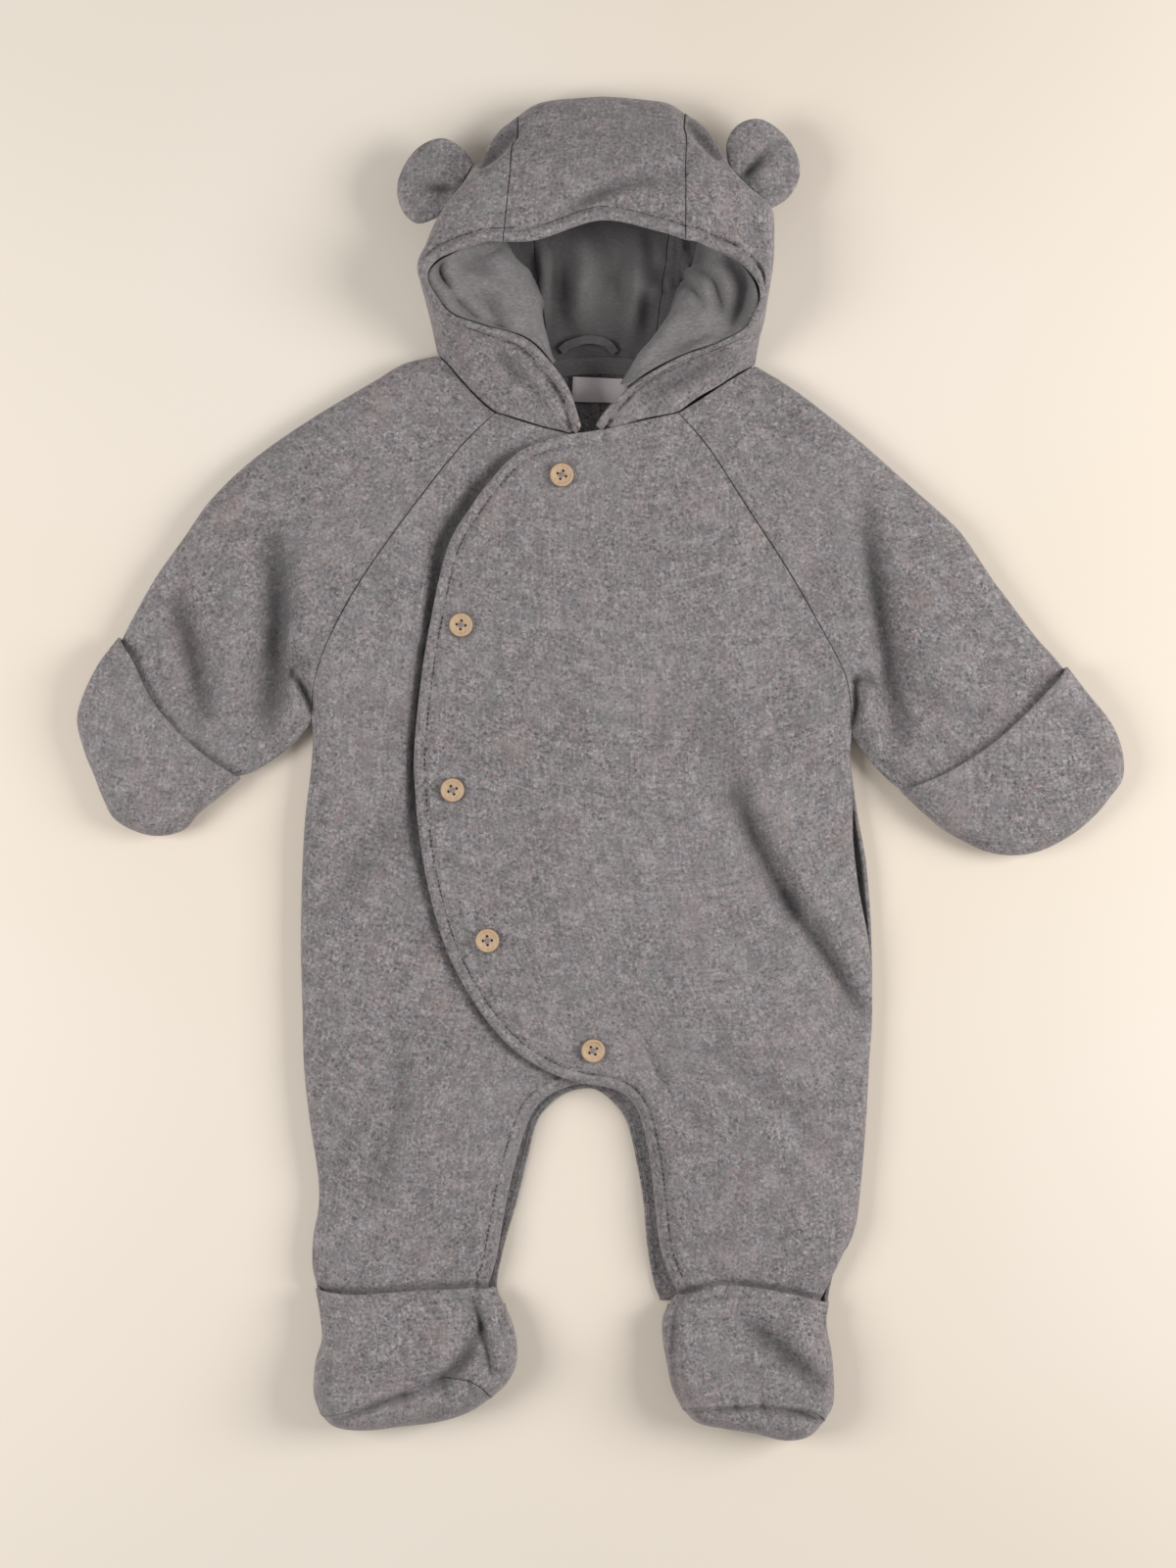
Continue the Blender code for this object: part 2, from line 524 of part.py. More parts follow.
side_right = right_line[pit_right:]
side_left = left_line[:pit_left_front + 1]
overlap_line = np.vstack([spline(OVERLAP), crotch_front[10 * SUB:]])
hidden_line = np.vstack([spline(HIDDEN_EDGE), crotch_front[:9 * SUB + 1][::-1]])
cover_line = spline(HIDDEN_EDGE + [(-8, -199), (-32, -214), (-52, -235), (-60, -346)])
outer_left_line = np.vstack([spline(RAGLAN_LEFT + [ARMPIT_LEFT]), side_left[::-1]])


def over_lift(p):
    """How far the left front is held up by the right front under it."""
    cover = at_height(cover_line, p[:, 1])[:, 0] + 10
    fade = np.minimum(at_height(outer_left_line, p[:, 1])[:, 0] - cover, 50)
    return LAYER * smooth_step((cover + np.maximum(fade, 8) - p[:, 0]) / np.maximum(fade, 8))


def over_front(p):
    """The left front's face: the front's own, lifted where it covers the right front."""
    pts, nrm = front(p)
    e = 0.5
    slope_x = (over_lift(p + (e, 0)) - over_lift(p - (e, 0))) / (2 * e)
    slope_y = (over_lift(p + (0, e)) - over_lift(p - (0, e))) / (2 * e)
    pts[:, 2] += over_lift(p) / np.maximum(nrm[:, 2], 0.6)
    nrm[:, 0] -= slope_x * nrm[:, 2]
    nrm[:, 1] -= slope_y * nrm[:, 2]
    return pts, nrm / np.linalg.norm(nrm, axis=1)[:, None]


def seam_side(raglan, side, heights):
    """A panel's outer edge: down the raglan seam, clear of it, then down the side seam."""
    seam = step_in(raglan, np.array([0.0, 100.0]), SEAM / 2)
    return np.vstack([seam[:-1], at_height(side, np.append(raglan[-1, 1] - PIT_CLEAR, heights))])


def front_plan(raglan, side, free_line, neck_rows):
    """Plan grid of a front and its leg, from the free edge across to the seam side."""
    outer = seam_side(raglan, side, ROWS_DOWN)
    chest = along(free_line[free_line[:, 1] > outer[len(raglan) - 1, 1] - 4], RAGLAN_STEPS)
    free = np.vstack([chest, at_height(free_line, ROWS_DOWN)])
    plan = panel(free, outer, ACROSS)
    neck = along(spline(neck_rows), ACROSS)
    neck[-1] = plan[0, -1]
    fade = np.clip(1 - np.arange(len(plan)) / 5, 0, 1)[:, None, None] ** 2
    return plan + (neck - plan[0]) * fade


def make_fronts():
    plan = front_plan(raglan_right, side_right, hidden_line, NECK_RIGHT)
    cloth("front_right", [(*shaped(plan, front), False)], WALL, WOOL)
    plan = front_plan(raglan_left, side_left, overlap_line, NECK_LEFT)
    cloth("front_left", [(*shaped(plan, over_front), False)], WALL, WOOL)


def make_back():
    rows = np.append(ROWS_DOWN[ROWS_DOWN > SOLE_START + 5], SOLE_START + 0.7)
    apex = (-9.0, -196.5)
    split = 9 * SUB
    middle_y = (raglan_back_right[:, 1] + raglan_back_left[:, 1]) / 2
    middle_y = np.interp(middle_y, [middle_y[-1], middle_y[0]], [middle_y[-1], 244])
    heights = np.append(middle_y, rows)
    centre = np.column_stack([apex[0] * (244 - heights) / (244 - apex[1]), heights])
    below = heights < apex[1] - 1
    neck = spline(NECK_BACK)
    half = (len(neck) - 1) // 2
    across = np.array([0, 0.02, 0.08, 0.2, 0.5, 0.8, 0.94, 1])
    patches = []
    for seam, line, leg, top in (
            (raglan_back_right, right_back_line[pit_right:], crotch_back[:split + 1], neck[:half + 1]),
            (raglan_back_left, left_back_line[:pit_left_back + 1], crotch_back[split:],
             neck[half:][::-1])):
        outer = seam_side(seam, line, rows)
        inner = np.where(below[:, None], at_height(leg, heights), centre)
        plan = panel(outer, inner, across)
        plan[0] = along(top, across)
        plan[0, 0] = outer[0]
        plan[0, -1] = inner[0]
        pts, nrm = shaped(plan, under)
        patches.append((pts, nrm, False))
    cloth("back", patches, WALL, WOOL)


# ---------------------------------------------------------------- sleeves and mittens

def sleeve_seam(neck_rows, seam):
    """The sleeve's own edge along the neckline and down a raglan seam, and its fractions."""
    neck = along(spline(neck_rows), NECK_STEPS)
    line = np.vstack([neck[:-1], seam])
    step = np.linalg.norm(np.diff(line, axis=0), axis=1)
    return line, np.concatenate([[0], np.cumsum(step)]) / step.sum()


def between(a, b, fraction):
    return a[:, None] * (1 - fraction[:, None]) + b[:, None] * fraction[:, None]


def beyond(p, mitten_edge):
    """Distance past the line across a mitten's open end, positive toward its tip."""
    start, end = np.array(mitten_edge[0], float), np.array(mitten_edge[-1], float)
    run = (end - start) / np.linalg.norm(end - start)
    square = np.array([run[1], -run[0]])
    if square[1] > 0:
        square = -square
    return (p - start) @ square


def make_sleeve(name, neck_front, seam_front, neck_back, seam_back, top, underarm, mitten_edge):
    along_v = np.array([0, 0.08, 0.2, 0.34, 0.48, 0.6, 0.7, 0.78, 0.85, 0.92, 1])
    a = along(top, along_v)
    b = along(underarm, along_v)
    b[0] = along(underarm, [0.01])[0]
    fade = np.clip(1 - along_v / 0.7, 0, 1)[:, None, None] ** 1.6
    halves = []
    for neck_rows, seam in ((neck_front, seam_front), (neck_back, seam_back)):
        line, fraction = sleeve_seam(neck_rows, seam)
        bow = line - between(a[:1], b[:1], fraction)[0]
        plan = between(a, b, fraction) + bow * fade
        away = SEAM / 2 + PIT_CLEAR * smooth_step((fraction - 0.93) / 0.05)
        moved = step_in(line, plan[2], away[:, None])
        plan[0, 1:-1] = moved[1:-1]
        halves.append(plan)
    upper, upper_n = shaped(halves[0], front, shift=0.0)
    lower, lower_n = shaped(halves[1], under, shift=0.0)
    flat = lower[..., :2].reshape(-1, 2)
    lift = TUCK_LIFT * smooth_step((beyond(flat, mitten_edge) + 26) / 16)
    free = 1 - lower[..., 2] / SIDE_EDGE
    lower[..., 2] += lift.reshape(free.shape) * free
    ring = np.concatenate([upper, lower[:, -2:0:-1]], axis=1)
    ring_n = np.concatenate([upper_n, lower_n[:, -2:0:-1]], axis=1)
    cloth(name, [(ring, ring_n, True)], WALL, WOOL)


def make_mitten(name, rows, tip_rows, edge_rows, clockwise):
    outline = spline(rows)
    first, last = tip_rows[0] * SUB, tip_rows[1] * SUB
    side_a, side_b, tip = outline[:first + 1], outline[last:][::-1], outline[first:last + 1]
    edges = [(outline[::-1] if clockwise else outline, SIDE_EDGE)]
    along_v = np.array([0, 0.2, 0.42, 0.62, 0.78, 0.89, 0.96, 0.99, 1])
    a, b = along(side_a, along_v), along(side_b, along_v)
    straight = between(a, b, ACROSS)
    tip_bow = (along(tip, ACROSS) - straight[-1]) * along_v[:, None, None] ** 2
    mouth_bow = (along(spline(edge_rows), ACROSS) - straight[0]) * (1 - along_v[:, None, None]) ** 2
    plan_up, plan_down = straight + tip_bow + mouth_bow, straight + tip_bow

    def mouth_rise(p):
        return np.full(len(p), MITTEN_LOFT) - 0.05 * np.maximum(beyond(p, edge_rows), 0)

    own, own_n = shaped(plan_up, front, shift=0.0, edges=edges, radius=MITTEN_ROUND, rise_fn=mouth_rise)
    sleeve, sleeve_n = shaped(plan_up, front, shift=0.0)
    past = beyond(plan_up.reshape(-1, 2), edge_rows).reshape(own.shape[:2])
    sleeve[..., 2] += LAYER + 2 * SEAM - 0.35 * np.maximum(past - 28, 0)
    inside = sleeve[..., 2] > own[..., 2]
    inside &= own[..., 2] > SIDE_EDGE + 6
    own[inside] = sleeve[inside]
    own_n[inside] = sleeve_n[inside]
    lower, lower_n = shaped(plan_down, under, shift=0.0, edges=edges)
    ring = np.concatenate([own, lower[:, -2:0:-1]], axis=1)
    ring_n = np.concatenate([own_n, lower_n[:, -2:0:-1]], axis=1)
    ring[-1, len(ACROSS):] = own[-1, -2:0:-1]
    cloth(name, [(ring, ring_n, True)], WALL, WOOL)


# ---------------------------------------------------------------- feet

def make_foot(side, table, clockwise):
    outer, inner = spline(table["outer"]), spline(table["inner"])
    toe, seam = spline(table["toe"]), spline(table["seam"])
    ring = [outer, toe, inner[::-1]]
    edges = [(line[::-1] if clockwise else line, SIDE_EDGE) for line in ring]
    flap = spline(table["flap"])

    def instep(p):
        return FOOT_LOFT + INSTEP_RISE * smooth_step((flap[0, 1] - p[:, 1]) / INSTEP_RUN)

    def top(p, shift):
        own, own_n = front(p, shift=shift, edges=edges, radius=FOOT_ROUND, rise_fn=instep)
        leg, leg_n = front(p)
        leg[:, 2] += LAYER + 0.5 - 0.4 * np.maximum(-338 - p[:, 1], 0)
        inside = (leg[:, 2] > own[:, 2]) & (own[:, 2] > SIDE_EDGE + 6)
        own[inside], own_n[inside] = leg[inside], leg_n[inside]
        return own, own_n

    down = np.array([0, 0.12, 0.3, 0.5, 0.68, 0.83, 0.94, 1])
    rows = between(along(outer, down), along(inner, down), ACROSS)
    flap_bow = (along(flap, ACROSS) - rows[0]) * (1 - down[:, None, None]) ** 2
    seam_bow = (along(seam, ACROSS) - rows[-1]) * down[:, None, None] ** 2
    plan = rows + flap_bow + seam_bow
    plan[-1, 1:-1] = step_in(plan[-1], plan[-2], SEAM / 2)[1:-1]
    plan[-1, [0, -1]] += (plan[-2, [0, -1]] - plan[-1, [0, -1]]) * 0.5
    cloth("foot_upper_" + side, [(*shaped(plan, top, shift=SEAM / 2), False)], WALL, WOOL)

    start_out = outer[outer[:, 1] <= SOLE_START]
    start_in = inner[inner[:, 1] <= SOLE_START]
    floor = between(along(start_out, down), along(start_in, down), ACROSS)
    floor[0, :, 1] = SOLE_START
    floor = floor + (along(toe, ACROSS) - floor[-1]) * down[:, None, None] ** 2
    bottom, bottom_n = shaped(floor, under, edges=edges)
    edge = along(toe, ACROSS)
    last = step_in(along(seam, ACROSS), edge, SEAM / 2)
    last[[0, -1]] = edge[[0, -1]]
    wrap = np.array([0.06, 0.2, 0.42, 0.7, 1])[:, None, None]
    over = edge * (1 - wrap) + last * wrap
    upper, upper_n = shaped(over, top, shift=-SEAM / 2)
    pts = np.concatenate([bottom, upper])
    nrm = np.concatenate([bottom_n, upper_n])
    cloth("foot_sole_" + side, [(pts, nrm, False)], WALL, WOOL)


# ---------------------------------------------------------------- hood

neckline_front = np.vstack([spline(NECK_FRONT_RIGHT), spline(NECK_RIGHT)[::-1],
                            spline(NECK_LEFT), spline(NECK_FRONT_LEFT)[::-1]])
neckline_back = np.vstack([spline(NECK_SIDE_BACK_RIGHT), spline(NECK_BACK),
                           spline(NECK_SIDE_BACK_LEFT)[::-1]])


def snap(p, line):
    """The nearest points of a line."""
    a, ab = line[:-1], line[1:] - line[:-1]
    t = np.clip(((p[:, None] - a) * ab).sum(2) / np.maximum((ab * ab).sum(1), 1e-9), 0, 1)
    spots = a + t[..., None] * ab
    k = np.linalg.norm(p[:, None] - spots, axis=2).argmin(1)
    return spots[np.arange(len(p)), k]


def hood_controls(sections):
    """Seven points of each section: rim, crest, ridge, widest point, floor, floor, neckline."""
    rim, wide = sections[:, 0:3], sections[:, 3:6]
    wrap, ridge = np.clip(sections[:, 8:9], 0, 1), sections[:, 9:10]
    neck_xy = snap(sections[:, 6:8], neckline_front) * (1 - wrap)
    neck_xy += snap(sections[:, 6:8], neckline_back) * wrap
    neck_z = (1 - wrap[:, 0]) * front(neck_xy)[0][:, 2] + wrap[:, 0] * under(neck_xy)[0][:, 2]
    run = wide[:, :2] - neck_xy
    neck_xy = neck_xy + run / np.linalg.norm(run, axis=1)[:, None] * 2 * SEAM
    neck = np.column_stack([neck_xy, neck_z])
    crest = rim * 0.86 + wide * 0.14
    crest[:, 2] = rim[:, 2] + 0.8
    high = (1 - wrap) * 0.45 + wrap * 0.84
    shoulder = rim * (1 - ridge) + wide * ridge
    shoulder[:, 2] = (rim[:, 2:] * high + wide[:, 2:] * (1 - high))[:, 0]
    back = neck - wide
    inset = np.minimum(FLOOR_INSET / np.linalg.norm(back[:, :2], axis=1), 0.4)[:, None]
    floor_a = wide + back * (wrap * inset + (1 - wrap) * 0.35)
    floor_b = wide + back * (wrap * 0.55 + (1 - wrap) * 0.7)
    floor_a[:, 2] *= 1 - wrap[:, 0]
    floor_b[:, 2] *= 1 - wrap[:, 0]
    return np.stack([rim, crest, shoulder, wide, floor_a, floor_b, neck], axis=1)


def profile_grid(controls, fractions):
    """A smooth curve through each section's controls, at the fractions: rows are sections."""
    grid = np.array([along(spline(section), fractions) for section in controls])
    grid[..., 2] = np.maximum(grid[..., 2], 0)
    return grid


def grid_normals(grid):
    """Normals of a grid of points, outward where the first rows run up the right side."""
    across = np.gradient(grid, axis=0)
    down = np.gradient(grid, axis=1)
    normal = np.cross(across, down)
    return normal / np.maximum(np.linalg.norm(normal, axis=2), 1e-9)[..., None]


def hood_grid(stations, fractions):
    grid = profile_grid(hood_controls(at_rows(HOOD, stations)), fractions)
    normal = grid_normals(grid)
    normal[grid[..., 2] < 0.02] = (0, 0, -1)
    return grid, normal


def hood_stations():
    parts = [np.linspace(a, b, n + 1) for a, b, n in
             zip(HOOD_CUTS[:-1], HOOD_CUTS[1:], HOOD_COLUMNS)]
    return np.concatenate([parts[0], parts[1][1:], parts[2][1:]])


def cut_panels(grid, normal, first, last):
    """The three panels of a hood layer between two columns, parted by the seam gap."""
    ends = np.cumsum((0,) + HOOD_COLUMNS)
    ends[0], ends[-1] = first, last
    square = np.cross(np.gradient(grid, axis=1), normal)
    square /= np.maximum(np.linalg.norm(square, axis=2), 1e-9)[..., None]
    for k, (a, b) in enumerate(zip(ends[:-1], ends[1:])):
        piece = grid[a:b + 1].copy()
        if k > 0:
            piece[0] += square[a] * SEAM / 2
        if k < 2:
            piece[-1] -= square[b] * SEAM / 2
        yield piece, normal[a:b + 1]


def make_hood():
    stations = hood_stations()
    grid, normal = hood_grid(stations, HOOD_FRACTIONS)
    names = ("hood_side_right", "hood_centre", "hood_side_left")
    for name, (piece, nrm) in zip(names, cut_panels(grid, normal, 0, len(grid) - 1)):
        cloth(name, [(piece, nrm, False)], WALL, WOOL)

    keep = [0, 2, 3, 4, 5, 6, 7, 8, 9, 11]
    follow = (grid - normal * (WALL + 2 * SEAM))[:, keep]
    table = np.array(HOOD_LINING, float)
    own = np.column_stack([np.interp(stations, table[:, 0], col) for col in table[:, 1:].T])
    share, edge, foot, neck = own[:, :1, None], own[:, 1:4], own[:, 4:7], own[:, 7:10]
    inward = (edge - grid[:, 0]) * (1, 1, 0)
    inward /= np.linalg.norm(inward, axis=1)[:, None]
    turned = grid[:, 0] + inward * 4 * SEAM - (0, 0, WALL + LINING + 4 * SEAM)
    shelf = (turned + edge) / 2
    shelf_grid = profile_grid(np.stack([turned, shelf, edge, foot, (foot + neck) / 2, neck], 1),
                              HOOD_FRACTIONS[keep])
    lining = follow * (1 - share) + shelf_grid * share
    low = WALL + 2 * SEAM
    lining[..., 2] = np.maximum(lining[..., 2], low)
    nrm = grid_normals(lining)
    nrm[(lining[..., 2] < 2.5 * low) & (nrm[..., 2] > -0.3)] = (0, 0, -1)
    names = ("hood_lining_right", "hood_lining_centre", "hood_lining_left")
    trim = [np.abs(stations - row).argmin() for row in LINING_ENDS]
    for name, (piece, piece_n) in zip(names, cut_panels(lining, nrm, *trim)):
        cloth(name, [(piece, piece_n, False)], LINING, JERSEY)


def resample(grid, known, wanted, axis):
    """A grid linearly interpolated along one of its axes."""
    k = np.clip(np.searchsorted(known, wanted) - 1, 0, len(known) - 2)
    t = (wanted - known[k]) / (known[k + 1] - known[k])
    t = t.reshape([-1 if i == axis else 1 for i in range(grid.ndim)])
    return np.take(grid, k, axis) * (1 - t) + np.take(grid, k + 1, axis) * t


def ear_base(rows):
    """Where an ear meets the outside of the hood: a point on each of the hood's given rows."""
    stations = hood_stations()
    down = np.linspace(0.1, 0.6, 80)
    grid, normal = (resample(resample(layer, stations, rows, 0), HOOD_FRACTIONS, down, 1)
                    for layer in hood_grid(stations, HOOD_FRACTIONS))
    base = []
    for profile, nrm in zip(grid, normal):
        k = np.abs(profile[:, 2] - EAR_HEIGHT).argmin()
        out = nrm[k] * (1, 1, 0)
        out /= np.linalg.norm(out)
        beside = np.abs(profile[:, 2] - profile[k, 2]) < EAR_THICK * 0.7
        reach = ((profile[beside] - profile[k]) @ out).max()
        base.append(profile[k] + out * (reach + EAR_CLEAR))
    base = np.array(base)
    base[:, 2] = EAR_HEIGHT
    return base


def make_ear(name, table):
    """A round ear of two layers of cloth, held in the seam on the hood's outside."""
    columns = 9
    across = np.linspace(0, 1, columns)
    base = ear_base(table["rows"][0] + (table["rows"][1] - table["rows"][0]) * across)
    rim = along(spline([tuple(base[0, :2])] + table["rim"] + [tuple(base[-1, :2])]),
                np.linspace(0.02, 0.98, columns))
    rim = np.column_stack([rim, np.full(columns, EAR_HEIGHT - EAR_DROOP)])
    out = np.array([0, 0.25, 0.5, 0.72, 0.88, 0.97, 1])
    mid = base[:, None] * (1 - out[:, None]) + rim[:, None] * out[:, None]
    half = EAR_THICK / 2 * np.sqrt(np.clip(1 - (np.maximum(out - 0.8, 0) / 0.2) ** 2, 0, 1))
    side = np.sqrt(np.clip(1 - (np.abs(across * 2 - 1)) ** 8, 0, 1))
    puff = half[None, :] * np.maximum(side[:, None], 0.35)
    top, low = mid.copy(), mid.copy()
    top[..., 2] += puff
    low[..., 2] -= puff
    count = mid.shape[0] * mid.shape[1]
    up = grid_faces(*mid.shape[:2], False)
    if turns(mid.reshape(-1, 3), up)[:, 2].sum() < 0:
        up = up[:, ::-1]
    faces = up.tolist() + (up[:, ::-1] + count).tolist()
    sides = {(a, b) for ring in up.tolist() for a, b in zip(ring, ring[1:] + ring[:1])}
    faces += [[b, a, a + count, b + count] for a, b in sides if (b, a) not in sides]
    new_object(name, np.vstack([top.reshape(-1, 3), low.reshape(-1, 3)]), faces, WOOL, 60)


# ---------------------------------------------------------------- small pieces at the neck

def strip(name, centre, width, thick, mat):
    """A flat tape along a line of x, y, z points, its width lying level."""
    line = along(spline(centre), np.linspace(0, 1, 4 * len(centre) - 7))
    step = np.gradient(line, axis=0)
    square = np.column_stack([-step[:, 1], step[:, 0], np.zeros(len(line))])
    square /= np.linalg.norm(square, axis=1)[:, None]
    grid = np.stack([line - square * width / 2, line + square * width / 2], axis=1)
    normal = np.cross(square, step)
    normal *= np.sign(normal[:, 2:]) / np.linalg.norm(normal, axis=1)[:, None]
    cloth(name, [(grid, np.stack([normal, normal], axis=1), False)], thick, mat)


def make_neck_pieces():
    low = WALL + LINING + 3 * SEAM
    strip("neck_band", [(-37, 244.5, low + 1.4), (-20, 246.5, low + 1.4), (0, 247.5, low + 1.4),
                        (16, 247, low + 1.4), (30, 245, low + 1.4)], 10.5, LINING, JERSEY)
    strip("hanger_loop", [(-25, 256, low + 3), (-20, 260, low + 4), (-8, 263, low + 4.4),
                          (3, 261, low + 4), (9, 255, low + 3)], 5, LINING, JERSEY)
    strip("neck_label", [(-0.5, 240.2, WALL + 1.6), (-0.8, 233, WALL + 1.9), (-1, 225, WALL + 1.4)],
          34, 1.0, SATIN)


# ---------------------------------------------------------------- buttons

def make_button(number, x, y):
    """A turned wooden button with a raised rim, a dished middle and four holes."""
    radius, thick, sides = BUTTON / 2, BUTTON_THICK, 16
    profile = [(radius - 1.0, 0), (radius, thick * 0.35), (radius - 0.4, thick * 0.85),
               (radius - 1.2, thick), (radius - 2.3, thick * 0.78)]
    turn = np.arange(sides) * 2 * math.pi / sides
    verts = [(0, 0, 0)] + [(r * math.cos(t), r * math.sin(t), z) for r, z in profile for t in turn]
    verts.append((0, 0, thick * 0.66))
    faces = []
    last = 1 + (len(profile) - 1) * sides
    for k in range(sides):
        n = (k + 1) % sides
        faces.append([0, 1 + n, 1 + k])
        faces += [[a + k, a + n, a + sides + n, a + sides + k] for a in range(1, last, sides)]
        faces.append([last + k, last + n, len(verts) - 1])
    button = new_object("button_%d" % number, verts, faces, WOOD, 35)
    face, normal = over_front(np.array([(x, y)], float))
    up = Vector(normal[0])
    button.rotation_euler = up.to_track_quat("Z", "Y").to_euler()
    button.location = (Vector(face[0]) + up * 2 * SEAM) * MM
    for k in range(4):
        angle = math.radians(20 + 90 * k + 17 * number)
        centre = HOLE_CIRCLE * np.array([math.cos(angle), math.sin(angle)])
        corners = [centre + BUTTON_HOLE / 2 * np.array([math.cos(t), math.sin(t)])
                   for t in np.arange(5) * math.pi * 0.4]
        points = [(*c, z) for z in (-1, thick + 1) for c in corners]
        walls = [[i, (i + 1) % 5, 5 + (i + 1) % 5, 5 + i] for i in range(5)]
        ends = [list(range(4, -1, -1)), list(range(5, 10))]
        hole = new_object("hole_%d_%d" % (number, k + 1), points, walls + ends, WOOD, 35)
        hole.rotation_euler = button.rotation_euler
        hole.location = button.location
        hole.hide_render = True
        hole.display_type = "WIRE"
        cut = button.modifiers.new("hole", "BOOLEAN")
        cut.operation = "DIFFERENCE"
        cut.object = hole


make_back()
make_fronts()
make_sleeve("sleeve_right", NECK_FRONT_RIGHT, raglan_right, NECK_SIDE_BACK_RIGHT,
            raglan_back_right, sleeve_top_right, right_line[:pit_right + 1][::-1],
            MITTEN_RIGHT_EDGE)
make_sleeve("sleeve_left", NECK_FRONT_LEFT, raglan_left, NECK_SIDE_BACK_LEFT,
            raglan_back_left, sleeve_top_left[::-1], left_line[pit_left_front:],
            MITTEN_LEFT_EDGE)
make_mitten("mitten_right", MITTEN_RIGHT, MITTEN_RIGHT_TIP, MITTEN_RIGHT_EDGE, False)
make_mitten("mitten_left", MITTEN_LEFT, MITTEN_LEFT_TIP, MITTEN_LEFT_EDGE, True)
make_foot("right", FOOT_RIGHT, False)
make_foot("left", FOOT_LEFT, True)
make_hood()
make_ear("ear_right", EAR_RIGHT)
make_ear("ear_left", EAR_LEFT)
make_neck_pieces()
for index, (bx, by) in enumerate(BUTTONS):
    make_button(index + 1, bx, by)
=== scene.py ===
"""The look of a baby's hooded snowsuit in grey felted wool, laid out flat on its back.

X runs across the garment (+X is the wearer's left), Y from the feet to the hood, Z up from the
surface it lies on. Tables and sizes are in millimetres; meshes are in metres.
"""
import math

import bmesh
import bpy
import mathutils
import numpy as np
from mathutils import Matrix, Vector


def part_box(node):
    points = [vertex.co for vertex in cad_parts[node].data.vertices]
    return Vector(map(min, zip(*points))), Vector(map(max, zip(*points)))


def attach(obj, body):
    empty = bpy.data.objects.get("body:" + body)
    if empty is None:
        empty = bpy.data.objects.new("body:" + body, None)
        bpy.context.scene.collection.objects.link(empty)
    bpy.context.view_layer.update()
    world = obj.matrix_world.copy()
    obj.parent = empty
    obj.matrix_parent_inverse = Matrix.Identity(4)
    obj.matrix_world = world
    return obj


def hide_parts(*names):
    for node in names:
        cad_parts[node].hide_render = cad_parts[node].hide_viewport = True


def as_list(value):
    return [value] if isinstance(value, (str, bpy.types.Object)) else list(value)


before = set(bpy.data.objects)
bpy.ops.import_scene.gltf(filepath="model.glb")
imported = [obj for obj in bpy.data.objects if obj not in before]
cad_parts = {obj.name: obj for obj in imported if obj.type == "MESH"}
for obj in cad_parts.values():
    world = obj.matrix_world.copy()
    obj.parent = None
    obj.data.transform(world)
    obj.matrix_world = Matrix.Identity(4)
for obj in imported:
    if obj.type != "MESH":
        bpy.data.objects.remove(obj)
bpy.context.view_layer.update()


# ---------------------------------------------------------------- where it lies
# A smooth cream table top, seen from straight above. Two wide soft lights stand at its sides and
# light comes in all round, so that shadows are faint and lie close about the garment.

MM = 0.001
PHOTO_MIDDLE = (-8.1, -9.3)      # the point under the camera
CAMERA_HEIGHT = 1610.0
TABLE = (0.83, 0.74, 0.63)
TABLE_GLOW = (0.86, 0.79, 0.70)
TOP_HALF, TOP_LEVEL = 2.0, -0.0004           # metres; just under the cloth

# Each light's place, width in metres and power in watts
LIGHTS = {"window on its left": ((1.42, 0.1, 0.92), 0.85, 23.5),
          "window on its right": ((-1.25, -0.1, 1.08), 0.85, 15.5)}
WINDOW_WHITE = (1.0, 0.985, 0.97)
DAYLIGHT, DAYLIGHT_STRENGTH = (1.0, 0.985, 0.965, 1), 0.28
LENS = 60


